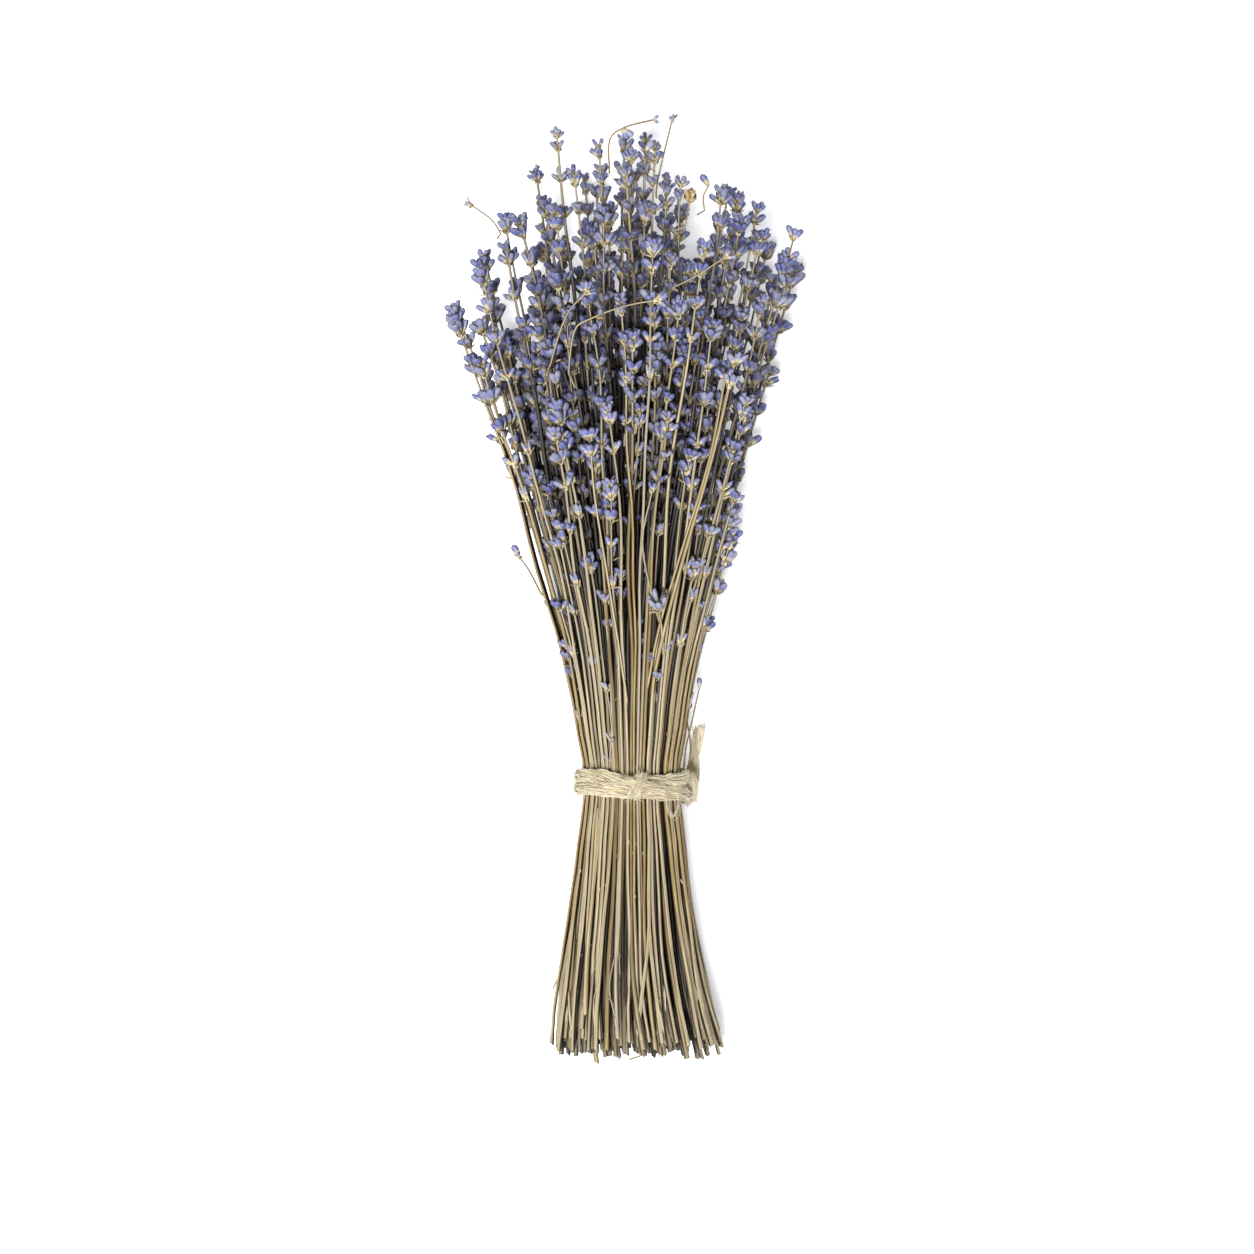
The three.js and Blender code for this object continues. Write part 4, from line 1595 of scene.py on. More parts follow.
TWIGS = (
    Twig(((9.9, 252, 0.7), (11.4, 262, 0.72), (16.8, 284, 0.74)), 0.34 * MM, 0.2, ((1, 0.62, 4, 0.5),)),
    Twig(((-9.5, 262, 0.8), (-9.5, 275.5, 0.82), (-3, 280.6, 0.84), (8.6, 283.6, 0.84)),
        0.42 * MM, 0.16, (), ((0.62, 0.95, -62), (0.62, 0.85, -92), (1, 0.5, 20), (1, 0.45, -40))),
    Twig(((8, 262, 0.84), (7, 268, 0.86), (5.6, 270.5, 0.87)), 0.32 * MM, 0.2, (), ((1, 0.95, -74),)),
    Twig(((-55, 236, 0.7), (-59.5, 243.4, 0.72), (-68.4, 250, 0.74)), 0.34 * MM, 0.2, ((1, 0.6, 3, 0.3),)),
    Twig(((31, 245, 0.75), (30.2, 252.5, 0.77), (32.4, 257, 0.78)), 0.32 * MM, 0.2, (), ((1, 0.95, 60),)),
    Twig(((22, 238, 0.8), (23.4, 244, 0.82), (24.2, 249.8, 0.84)), 0.45 * MM, 0.6, (), (), True),
    Twig(((56, 196, 0.8), (61.5, 212, 0.82), (65.6, 224, 0.84), (68.8, 236, 0.86)),
        0.55 * MM, 0.04, ((0.72, 0.85, 4, 0), (0.98, 0.9, 5, 0))),
    Twig(((-38, 82, 0.8), (-44, 94, 0.84), (-48.6, 100.6, 0.86)),
        0.46 * MM, 0.12, ((0.97, 0.42, 2, 0),), ((1, 0.95, -12),)),
    Twig(((20.6, 3, 0.66), (22.4, 9, 0.66), (23.4, 18, 0.64), (25.9, 29, 0.66), (29.2, 44, 0.72)),
        0.5 * MM, 0.02, (), ((1, 0.72, 8),)),
    Twig(((20.8, 2, 0.74), (23.8, 7.5, 0.74), (25.4, 17, 0.7), (24.7, 25, 0.7), (23.1, 32, 0.7)),
        0.55 * MM, 0.02),
    Twig(((14, 212, 0.99), (26, 217.5, 1.03), (39.1, 226, 1.03)), 0.4 * MM, 0.9, ((1, 0.7, 4, 0),)),
    Twig(((-35.5, 178, 1), (-31.5, 192, 1.03), (-26.7, 203.3, 1.04), (-19, 211.5, 1.04)),
        0.48 * MM, 0.88, ((0.98, 0.8, 4, 0),)),
    Twig((
        (-27.6, 172, 1), (-24.6, 194.5, 1.04), (-17.6, 200.2, 1.04), (-3.4, 205.3, 1.04), (9.9, 207.9, 1.04)),
        0.52 * MM, 0.9, ((0.56, 0.8, 3, 0), (1, 0.95, 5, 0))),
    Twig(((13.4, 58, 1), (12.6, 70, 1.03), (11.2, 78, 1.07)), 0.7 * MM, 0.85, ((0.98, 1.4, 6, 0.75),)),
    Twig(((-1.5, 34, 0.97), (-4.7, 55.7, 1.02), (-10.5, 92, 1.03), (-15.9, 125.8, 1.02), (-17.8, 150, 1)),
        0.72 * MM, 0.8, ((1, 0.95, 5, 0), (0.93, 1, 4, 0))),
    Twig(((8, 42, 0.97), (14, 70, 1.02), (22.8, 103, 1.03), (34, 142, 1.03), (43.4, 182, 1)),
        1 * MM, 0.5, ((1, 0.95, 5, 0), (0.94, 1, 5, 0))),
    Twig(((6.2, 42, 0.96), (11.6, 70, 1.01), (21.2, 103, 1.02), (33, 142, 1.01), (39.5, 176, 0.99)),
        0.75 * MM, 0.62, ((1, 0.9, 4, 0),)),
    Twig(((-9.8, 7, 0.95), (-9.4, 16, 0.97), (-8.8, 28, 0.98), (-11.2, 46, 0.97)),
        0.6 * MM, 0.98, ((0.2, 0.6, 2, 1), (0.5, 0.7, 3, 1), (0.95, 0.7, 3, 0.95))),
    Twig(((15.5, 60, 0.96), (9, 82, 1.02), (4.4, 106, 1.03), (8.5, 128, 1.02)),
        0.5 * MM, 0.9, ((1, 0.85, 4, 0.2),)),
    Twig(((-20.2, -93.5, 0.97), (-19.2, -70, 1), (-16.6, -40, 0.98), (-14.6, -4, 0.93)),
        1.3 * MM, 0.6, is_cut=True),
    Twig(((2.2, -104.6, 0.98), (4.6, -84, 1.02), (6.9, -64.3, 1), (7.4, -40, 0.96)),
        1.1 * MM, 0.9, is_cut=True),
    Twig(((-6.4, -103, 0.96), (-7, -84, 1.01), (-6.6, -60, 0.99), (-5.6, -30, 0.96)),
        1.25 * MM, 0.98, is_cut=True),
    Twig(((-16.3, -115.4, 0.5), (-16, -100, 0.6), (-15.5, -80, 0.7)), 1.05 * MM, 0.45, is_cut=True),
    Twig(((-25.6, -107, 0.76), (-26.8, -97, 0.84), (-27.4, -86, 0.86)), 0.95 * MM, 0.92, is_cut=True),
    Twig(((-8.4, -92, 1), (-9.6, -86, 1.06), (-9.4, -80, 1.08), (-7.6, -72, 1.03)), 0.3 * MM, 0.9),
    Twig(((-7.4, -97, 1), (-8.9, -90, 1.05), (-10.2, -88.4, 1.08)), 0.3 * MM, 0.9),
    Twig(((9.5, -108, 0.12), (7, -114.8, 0.07), (-1.3, -118.4, 0.05)), 0.2 * MM, 0.3),
    Twig(((-30.5, -78, 0.4), (-31.8, -81.5, 0.3), (-34.4, -87.1, 0.25)), 0.2 * MM, 0.3),
)


# A stray stalk with its middle line.
RootedTwig = tuple[Twig, list[Vector]]


def on_line(line: Sequence[Vector], share: float) -> tuple[Vector, Vector]:
    """The point of a line at a share of its steps, and the line's direction there.

    Args:
        line: The line's points.
        share: From 0 at its start to 1 at its end.

    Returns:
        The point and the direction.
    """
    step = min(int(share * (len(line) - 1)), len(line) - 2)
    along = line[step + 1] - line[step]
    return line[step] + along * (share * (len(line) - 1) - step), along.normalized()


@dataclass(frozen=True)
class Seat:
    """A place on a stem that something grows from."""

    place: Vector
    along: Vector
    radius: float

    def outward(self, angle: float) -> Vector:
        """The direction out of the stem.

        Args:
            angle: Where round the stem, from its side.

        Returns:
            The direction.
        """
        side = self.along.cross(Z_AXIS).normalized()
        up = side.cross(self.along).normalized()
        return side * math.cos(angle) + up * math.sin(angle)

    def leaning(self, outward: Vector, degrees: float) -> Vector:
        """The direction that leans out from the stem's own by so many degrees."""
        lean = math.radians(degrees)
        return (self.along * math.cos(lean) + outward * math.sin(lean)).normalized()


@dataclass
class Spike:
    """Dresses stems with whorls: two fans of calyces over two papery bracts, and a tuft at the tip.

    Openings are in degrees from the stem, as the least, the most and the usual one.
    """

    own: random.Random
    calyces: SetPieces = field(default_factory=SetPieces)
    bracts: SetPieces = field(default_factory=SetPieces)
    fan_spread: float = math.radians(124)
    fan_scatter: float = math.radians(9)
    opening: Triple = (10, 58, 30)
    bract_openings: tuple[Triple, ...] = ((8, 46, 24), (18, 80, 40))
    petal_share: float = 0.09
    tuft: float = 5.2 * MM
    tuft_sizes: Range = (0.82, 0.62)
    tuft_calyces: int = 6
    crown: Range = (240 * MM, 270 * MM)
    crown_thinning: float = 2.4
    foot_of_heads: Range = (-200 * MM, -160 * MM)
    foot_thinning: float = 1.6
    vigour: Range = (0.88, 1.14)
    whorl_counts: tuple[int, ...] = (4, 4, 5, 5, 6)
    last_counts: tuple[int, ...] = (2, 3, 4)
    whorl_size: Range = (0.92, 1.1)
    last_size: float = 0.88
    crown_size: float = 0.8
    calyx_length: Range = (0.84, 1.14)
    calyx_width: Range = (0.86, 1.14)
    bract_size: Range = (0.6, 0.95)
    petal_size: Range = (0.6, 1.1)
    petal_openings: Range = (12, 60)
    remote_size: float = 0.92
    remote_opening: float = 0.4
    remote_paleness: Range = (0.3, 0.95)
    scar_stations: Range = (-95, 75)
    scar_length: Range = (0.22, 0.45)
    scar_opening: Range = (4, 16)
    peeled_share: float = 0.45
    peeled_length: Range = (1.2, 2.6)
    peeled_rise: Range = (1, 24)
    peeled_opening: Range = (2, 8)

    def lie(self, shade: float = 0.0, outward: Vector = Z_AXIS) -> None:
        """Sets the painted shade that the next shapes get for lying deep in the bunch, and which way is out of
        it.
        """
        for pieces in (self.calyces, self.bracts):
            pieces.shade, pieces.outward = shade, outward

    def seat(self, stem: StemLine, y: float) -> Seat:
        """The place on a stem at a station, where what is put next gets the stem's painted shade."""
        self.lie(stem.shade_at(y), stem.outward(y))
        return Seat(stem.at(y), stem.along(y), stem.radius_at(y))

    def whorl(
        self, seat: Seat, turn: float, size: float, calyces: int, opened: float = 1.0, pale: float = 0.0
    ) -> None:
        """Puts one whorl round a stem.

        Args:
            seat: Where it sits.
            turn: The angle of its first fan round the stem.
            size: Its scale.
            calyces: How many calyces it has.
            opened: How far its calyces stand open, as a share.
            pale: How far they have bleached and thinned.
        """
        own = self.own
        shade = own.random()
        for k in range(calyces):
            spread = ((k // 2) / max((calyces + 1) // 2 - 1, 1) - 0.5) * self.fan_spread
            outward = seat.outward(turn + math.pi * (k % 2) + spread + own.gauss(0, self.fan_scatter))
            heading = seat.leaning(outward, own.triangular(*self.opening) * opened)
            root = seat.place + outward * (seat.radius * 0.8) + seat.along * own.uniform(-0.5, 0.8) * MM
            length = size * own.uniform(*self.calyx_length)
            width = size * own.uniform(*self.calyx_width)
            tone = 0.55 * shade + 0.45 * own.random()
            form = own.choices(range(len(CALYX_ODDS)), CALYX_ODDS)[0]
            if pale:
                form, tone, width = BLEACHED_FORM, blend(tone, 1.0, pale), width * 0.85
            self.calyces.put(root, heading, outward, Vector((width, width, length)), form, tone)
            if own.random() < self.petal_share:
                self.petals(root + heading * (Calyx.length * length * 0.9), heading, outward, size)
        for fan in (0, math.pi):
            self.bract(seat, turn + fan, size, Papery.BROAD_BRACT)
            if own.random() < 0.5:
                self.bract(seat, turn + fan + own.choice((-1, 1)), size, Papery.NARROW_BRACT)

    def bract(self, seat: Seat, angle: float, size: float, form: Papery) -> None:
        """Puts a bract under one fan of calyces: a broad one that cups them, or a narrow one that stands off.

        Args:
            seat: Where the whorl sits.
            angle: Where round the stem the bract sits.
            size: The whorl's scale.
            form: Which bract it is.
        """
        outward = seat.outward(angle + self.own.gauss(0, 0.25))
        heading = seat.leaning(outward, self.own.triangular(*self.bract_openings[form]))
        scale = size * self.own.uniform(*self.bract_size)
        root = seat.place + outward * (seat.radius * 0.9) - seat.along * 0.9 * MM
        tone = self.own.triangular(0.3, 1.0, 0.75)
        self.bracts.put(root, heading, -outward, Vector((scale, scale, scale)), form, tone)

    def petals(self, place: Vector, heading: Vector, outward: Vector, size: float) -> None:
        """Puts the shrivelled brown remains of a flower in a calyx's mouth.

        Args:
            place: The calyx's mouth.
            heading: Where the calyx points.
            outward: A direction across it.
            size: The whorl's scale.
        """
        across = heading.cross(outward).normalized()
        mouth = Seat(place, heading, 0)
        start = self.own.uniform(0, 2 * math.pi)
        for k in range(3):
            angle = start + k * 2 * math.pi / 3 + self.own.gauss(0, 0.3)
            away = outward * math.cos(angle) + across * math.sin(angle)
            lean = mouth.leaning(away, self.own.uniform(*self.petal_openings))
            scale = size * self.own.uniform(*self.petal_size)
            tone = self.own.uniform(0, 0.3)
            self.bracts.put(place, lean, -away, Vector((scale, scale, scale)), Papery.PETAL, tone)

    def dress(self, stem: StemLine) -> None:
        """Puts every whorl on a stem, largest in the middle of the spike.

        Args:
            stem: The stem.
        """
        own = self.own
        turn = own.uniform(0, math.pi)
        vigour = own.uniform(*self.vigour)
        crown = smoothstep(stem.tip, *self.crown)
        size = blend(*self.tuft_sizes, crown) * vigour
        count = round(self.tuft_calyces - self.crown_thinning * crown)
        self.whorl(self.seat(stem, stem.tip - self.tuft), turn, size, count)
        for number, y in enumerate(stem.whorls):
            turn += math.pi / 2 + own.gauss(0, 0.2)
            is_last = number == len(stem.whorls) - 1
            count = own.choice(self.last_counts if is_last else self.whorl_counts)
            sparse = self.crown_thinning * crown + self.foot_thinning * smoothstep(-y, *self.foot_of_heads)
            count = max(count - round(sparse * own.random()), 2)
            size = vigour * (self.last_size if is_last else own.uniform(*self.whorl_size))
            size *= blend(1, self.crown_size, crown)
            self.whorl(self.seat(stem, y), turn, size, count)
        if stem.remote_whorl:
            pale, count = own.uniform(*self.remote_paleness), own.choice(self.last_counts)
            seat = self.seat(stem, stem.remote_whorl)
            self.whorl(seat, turn, self.remote_size, count, self.remote_opening, pale)
        self.scars(stem)

    def dress_twig(self, twig: Twig, line: list[Vector]) -> None:
        """Puts the whorls, buds and husk on a stray stalk.

        Args:
            twig: The stalk.
            line: Its middle line.
        """
        self.lie()
        for share, size, calyces, pale in twig.whorls:
            seat = Seat(*on_line(line, share), twig.radius)
            self.whorl(seat, self.own.uniform(0, math.pi), size, calyces, pale=pale)
        for share, size, turn in twig.buds:
            place, along = on_line(line, share)
            heading = Matrix.Rotation(math.radians(turn), 3, "Z") @ along
            self.calyces.put(place, heading, Z_AXIS, Vector((size, size, size)), 0, self.own.random())
        if twig.has_husk:
            self.husk(*on_line(line, 1.0))

    def husk(self, place: Vector, along: Vector) -> None:
        """Puts an empty husk on a stalk's end: a pale ball in a collar of broad bracts.

        Args:
            place: The stalk's end.
            along: The direction in which it grows.
        """
        self.bracts.put(place, along, Z_AXIS, Vector((0.62, 0.55, 0.7)), Papery.HUSK, 0.16)
        side = along.cross(Z_AXIS).normalized()
        for k in range(7):
            angle = k * GOLDEN_ANGLE
            outward = side * math.cos(angle) + Z_AXIS * math.sin(angle)
            heading = (along + outward * self.own.uniform(0.35, 0.8)).normalized()
            tone = self.own.uniform(0.3, 0.75)
            self.bracts.put(place, heading, -outward, Vector((1.25, 1.25, 1.3)), Papery.BROAD_BRACT, tone)

    def scars(self, stem: StemLine) -> None:
        """Puts leaf scars along a stem, and now and then a peeled strip of bark near its cut end.

        Args:
            stem: The stem.
        """
        own = self.own
        stations = [own.uniform(*self.scar_stations) * MM for _ in range(2)]
        scars = [(y, own.uniform(*self.scar_length), own.uniform(*self.scar_opening), 1) for y in stations]
        if own.random() < self.peeled_share:
            length = own.uniform(*self.peeled_length)
            y = stem.cut_end + (length * 5.4 + own.uniform(*self.peeled_rise)) * MM
            scars.append((y, length, own.uniform(*self.peeled_opening), -1))
        for y, length, opening, sense in scars:
            found = self.seat(stem, y)
            seat = Seat(found.place, found.along * sense, found.radius)
            outward = seat.outward(own.uniform(0, 2 * math.pi))
            heading = seat.leaning(outward, opening)
            root = seat.place + outward * seat.radius * 0.85
            width = 0.45 if sense > 0 else own.uniform(0.4, 0.85)
            size = Vector((width, 0.5, length))
            self.bracts.put(root, heading, -outward, size, Papery.NARROW_BRACT, own.uniform(0.7, 1.0))


@dataclass
class FlowerHeads:
    """All sprigs of the bunch: stems, calyces and bracts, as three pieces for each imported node."""

    stem_finish: DriedStemFinish
    calyx_finish: LavenderCalyxFinish
    bract_finish: DriedBractFinish
    station_step: float = 12 * MM
    sides: int = 8
    groove: float = 0.17
    twist: float = 2.6
    twig_taper: float = 0.7
    seed: int = 5

    def build(self) -> list[Object]:
        """Builds every sprig.

        Returns:
            The pieces.
        """
        self.stems = stem_tree()
        self.repeats = repeat_tree()
        finishes = (self.stem_finish, self.calyx_finish, self.bract_finish)
        self.dressings = [(finish.slot, finish.material()) for finish in finishes]
        self.cut_ends = variants("cut_end", [CutEnd().mesh(form) for form in CutForm])
        self.calyx_forms = variants("calyx", [Calyx().mesh(form) for form in CalyxForm])
        papery = {
            Papery.BROAD_BRACT: Leaflet(4.9 * MM, 2.2 * MM, 0.55, 0.16).mesh("bract_broad"),
            Papery.NARROW_BRACT: Leaflet(5.6 * MM, 1.4 * MM, 0.45, -0.12).mesh("bract_narrow"),
            Papery.PETAL: Leaflet(2.1 * MM, 0.75 * MM, 0.5, -0.45).mesh("petal_curled"),
            Papery.HUSK: Calyx(5.6 * MM, 2.7 * MM, 0.94, 8).mesh(CalyxForm.ROUND),
        }
        self.bract_forms = variants("bract", [papery[form] for form in Papery])
        sprigs = StemLayout().sprigs()
        made = [self.sprig(i, *both) for i, both in enumerate(zip(sprigs, self.rooted(sprigs)), 1)]
        return [piece for pieces in made for piece in pieces]

    def rooted(self, sprigs: list[list[StemLine]]) -> list[list[RootedTwig]]:
        """Starts each stray stalk on the stem nearest to it.

        Args:
            sprigs: The stems of each sprig.

        Returns:
            The stalks of each sprig with their middle lines.
        """
        rooted: list[list[RootedTwig]] = [[] for _ in sprigs]
        for twig in TWIGS:
            line = twig.line()
            start = line[0]
            near = [min((stem.at(start.y) - start).length for stem in stems) for stems in sprigs]
            number = near.index(min(near))
            places = [stem.at(start.y) for stem in sprigs[number]]
            line[0] = min(places, key=lambda place: (place - start).length)
            rooted[number].append((twig, line))
        return rooted

    def sprig(self, number: int, stems: list[StemLine], twigs: list[RootedTwig]) -> list[Object]:
        """Builds the pieces that stand for one packed sprig.

        Args:
            number: The sprig's number.
            stems: Its stems.
            twigs: Its stray stalks with their middle lines.

        Returns:
            Its stems, calyces and bracts.
        """
        own = random.Random(self.seed * 1000 + number)
        spike = Spike(own)
        for stem in stems:
            spike.dress(stem)
        for twig, line in twigs:
            spike.dress_twig(twig, line)
        ridged = {"Sides": self.sides, "Groove": self.groove, "Twist": self.twist, "Cut ends": self.cut_ends}
        parts = (
            ("stems", self.stems, self.lines(stems, twigs), {**ridged, "Seed": number}),
            ("calyces", self.repeats, spike.calyces.guide, {"Shapes": self.calyx_forms}),
            ("bracts", self.repeats, spike.bracts.guide, {"Shapes": self.bract_forms}),
        )
        pieces = []
        for (kind, tree, guide, values), (slot, finish) in zip(parts, self.dressings):
            piece = tree.run(guide, f"sprig_{number:02d}_{kind}", {**values, "Finish": finish})
            declare(piece, slot)
            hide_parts(f"sprigs_{number:02d}")
            pieces.append(piece)
        return pieces

    def lines(self, stems: list[StemLine], twigs: list[RootedTwig]) -> Guide:
        """Lays the middle lines of a sprig, from the cut end of each stem up to its tip.

        Args:
            stems: The stems.
            twigs: The stray stalks with their middle lines.

        Returns:
            The guide.
        """
        guide = Guide()
        for stem in stems:
            start = stem.cut_end + CUT_END_LENGTH
            end = stem.tip - BARE_TIP
            count = round((end - start) / self.station_step)
            streak_start = stem.tone * PATTERN_SPREAD
            for k in range(count + 1):
                y = blend(start, end, k / count)
                look = {"tone": stem.tone_at(y), "shade": stem.shade_at(y), "outward": stem.outward(y)}
                guide.add(stem.at(y), k > 0, thickness=stem.radius_at(y), start=streak_start, cut=1.0, **look)
        for twig, line in twigs:
            look = {"tone": twig.tone, "shade": 0.0, "outward": Z_AXIS}
            streak_start = twig.tone * PATTERN_SPREAD
            for k, place in enumerate(line):
                radius = max(twig.radius * blend(1, self.twig_taper, k / (len(line) - 1)), THINNEST_STALK)
                guide.add(place, k > 0, thickness=radius, start=streak_start, cut=float(twig.is_cut), **look)
        return guide


# The twine.


# The share of a strand's length from which its end flares.
FLARE_FROM = 0.6


def lay_strand(
    guide: Guide, line: Sequence[Vector], axis: Vector, width: float, depth: float, flare: float = 0
) -> None:
    """Adds the middle line of one strand to the guide of strand_tree.

    Args:
        guide: The guide.
        line: The middle line.
        axis: The direction in which the strand's width lies.
        width: Half its width.
        depth: Half its thickness.
        flare: How much wider it is at its end, as a share, growing from FLARE_FROM of its length.
    """
    for k, point in enumerate(line):
        wider = 1 + flare * max(k / (len(line) - 1) - FLARE_FROM, 0) / (1 - FLARE_FROM)
        guide.add(point, k > 0, width_axis=axis, half_width=width * wider, half_depth=depth * wider)


# Routes of the knots, the tail and the loop that hangs under the front knot, in millimetres.
FRONT_KNOT = ((0.8, -2.2, 43.4), (1.7, -0.6, 45.7), (3.0, 2.2, 46.5), (3.7, 4.6, 45.9), (4.2, 6.6, 43.4))
FRONT_KNOT_CROSSING = ((-7.6, 3.2, 41), (-2, 3.5, 45.2), (3, 2.7, 46.4), (8, 1.6, 44.9), (13.4, 0.9, 40.4))
SIDE_KNOT = (
    (21.2, 7.4, 14.5), (24.6, 5.6, 17.2), (25.5, 1.4, 18.4), (24.6, -2.6, 16.4), (23.8, -4.6, 12.4),
    (22.8, -3.2, 8.6),
)
TAIL_ROUTE = (
    (26.2, -5.4, 6.6), (26.4, -0.6, 5.4), (26.8, 5.6, 4.2), (27.4, 12.2, 3.2), (28.2, 19.0, 2.7),
    (29.8, 26.4, 2.5),
)
HANGING_LOOP = (
    (20.4, -1.4, 40), (20.2, -7.2, 40.4), (17.6, -12.2, 39.6), (15.7, -7.6, 41.6), (15.2, -1.6, 42.6)
)


@dataclass
class Twine:
    """The jute twine: two wraps with their knots, the free tail, and the loose fibres of both."""

    finish: JuteFinish
    half_width: float = 2.75 * MM
    half_depth: float = 1.5 * MM
    knot_radius: float = 1.7 * MM
    rovings: int = 34
    roving_radius: float = 0.41 * MM
    pitch: float = 110 * MM
    unevenness: float = 3.8 * MM
    step: float = 2.0 * MM
    wrap_steps: int = 72
    fibres: int = 3200
    fibre_reach: float = 2.4 * MM
    loop_threads: int = 7
    lower_stray: tuple[float, ...] = (-1.8, -1.4, -0.4, 0.9, 0.4, 0, 0, -0.9)
    upper_stray: tuple[float, ...] = (1.2, -0.9, -1.3, 1.6, 0.9, 0, 0, 0.6)
    tail_yarn_radius: float = 1.0 * MM
    tail_yarn_apart: float = 1.2 * MM
    tail_turns: float = 1.2
    tail_flare: float = 0.3
    tail_rovings: int = 14
    tail_roving_radius: float = 0.33 * MM
    tail_pitch: float = 40 * MM
    tail_frays: int = 26
    tail_fibres: int = 160
    tail_fibre_reach: float = 1.8 * MM
    fibre_length: Triple = (1.5, 7, 3)
    fibre_rise: Range = (0.1, 0.5)
    fibre_curl: Range = (-0.5, 0.9)
    fibre_steps: int = 5
    thread_tone: float = 0.9
    thread_spread: float = 0.45
    thread_stray: float = 0.12
    root_thickness: float = 0.11 * MM
    tip_thickness: float = 0.04 * MM
    seed: int = 3

    def build(self) -> list[Object]:
        """Builds the tie and the tail.

        Returns:
            The pieces.
        """
        self.own = random.Random(self.seed)
        self.material = self.finish.material()
        self.strands = strand_tree()
        self.sweeps = stem_tree()
        tail_line = catmull_rom(millimetres(TAIL_ROUTE), 4)
        tail, tail_fibres = self.tail(tail_line)
        tie, tie_fibres = self.tie()
        for piece in (tie, tie_fibres, tail, tail_fibres):
            declare(piece, self.finish.slot)
        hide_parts("twine_tie")
        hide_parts("twine_tail")
        length = sum((end - start).length for start, end in zip(tail_line, tail_line[1:]))
        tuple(tail_line[0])
        return [tie, tie_fibres, tail, tail_fibres]

    def spun(self, guide: Guide, name: str, rovings: int, radius: float, pitch: float) -> Object:
        """Spins strands along their middle lines.

        Args:
            guide: The middle lines.
            name: The object's name.
            rovings: How many rovings each strand has.
            radius: A roving's radius.
            pitch: The length in which they turn once.

        Returns:
            The object.
        """
        spin = {"Rovings": rovings, "Pitch": pitch, "Roving radius": radius, "Unevenness": self.unevenness}
        values = {**spin, "Step": self.step, "Seed": self.seed, "Finish": self.material}
        return self.strands.run(guide, name, values)

    def wrap_line(self, y: float, stray: Sequence[float]) -> list[Vector]:
        """The middle line of one wrap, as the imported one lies, with the sag of a hand-tied strand.

        Args:
            y: Its station.
            stray: How far it strays along the bunch, in millimetres, at each eighth of a turn.

        Returns:
            Its points, a little more than once round.
        """
        out = STEM_RADIUS + STRAND_THICKNESS / 2
        section = Section.at(WAIST_Y)
        bottom = STRAND_THICKNESS / 2 - REST_FLAT_DEPTH
        top = section.high + out
        line = []
        for k in range(self.wrap_steps + 2):
            turn = k / self.wrap_steps * 2 * math.pi
            place = k / self.wrap_steps * len(stray)
            before, after = (stray[(int(place) + one) % len(stray)] * MM for one in (0, 1))
            u = math.cos(turn)
            rise = settle(u, math.sin(turn)) * (top - bottom) / 2
            along = y + blend(before, after, smoothstep(place % 1, 0, 1))
            line.append(Vector((u * (section.half_width + out), along, (bottom + top) / 2 + rise)))
        return line

    def tie(self) -> tuple[Object, Object]:
        """Builds the wraps with their knots.

        Returns:
            The tie and its loose fibres.
        """
        guide = Guide()
        wraps = [self.wrap_line(0, self.lower_stray), self.wrap_line(WRAP_SPACING, self.upper_stray)]
        for line in wraps:
            lay_strand(guide, line, Y_AXIS, self.half_width, self.half_depth)
        knots = [catmull_rom(millimetres(route), 4) for route in (FRONT_KNOT, FRONT_KNOT_CROSSING, SIDE_KNOT)]
        for line in knots:
            across = (line[-1] - line[0]).cross(Z_AXIS).normalized()
            lay_strand(guide, line, across, self.knot_radius * 1.4, self.knot_radius)
        made = self.spun(guide, "twine_tie_yarn", self.rovings, self.roving_radius, self.pitch)
        threads = [catmull_rom(millimetres(HANGING_LOOP), 4)] * self.loop_threads
        lines = [*wraps, *knots]
        return made, self.loose_fibres(lines, "twine_tie_fibres", self.fibres, self.fibre_reach, threads)

    def tail(self, line: list[Vector]) -> tuple[Object, Object]:
        """Builds the free tail of two yarns laid round each other.

        Args:
            line: The tail's middle line.

        Returns:
            The tail and its loose fibres.
        """
        guide = Guide()
        for yarn in range(2):
            laid = []
            for k, point in enumerate(line):
                turn = 2 * math.pi * (k / (len(line) - 1) * self.tail_turns + yarn / 2)
                apart = self.tail_yarn_apart
                laid.append(point + Vector((math.cos(turn) * apart, 0, math.sin(turn) * apart)))
            lay_strand(guide, laid, X_AXIS, self.tail_yarn_radius, self.tail_yarn_radius, self.tail_flare)
        spin = (self.tail_rovings, self.tail_roving_radius, self.tail_pitch)
        made = self.spun(guide, "twine_tail_yarn", *spin)
        frayed = []
        for _ in range(self.tail_frays):
            start = line[-4] + self.strewn(0.8, MM)
            away = (line[-1] - line[-3]).normalized() + self.strewn(0.28)
            reach = self.own.uniform(5, 9) * MM
            frayed.append([start + away * (reach * step / 4) for step in range(5)])
        hairs = (self.tail_fibres, self.tail_fibre_reach)
        return made, self.loose_fibres([line], "twine_tail_fibres", *hairs, frayed)

    def strewn(self, spread: float, unit: float = 1.0) -> Vector:
        """A random offset of about the spread, in that unit."""
        return Vector([self.own.gauss(0, spread) * unit for _ in range(3)])

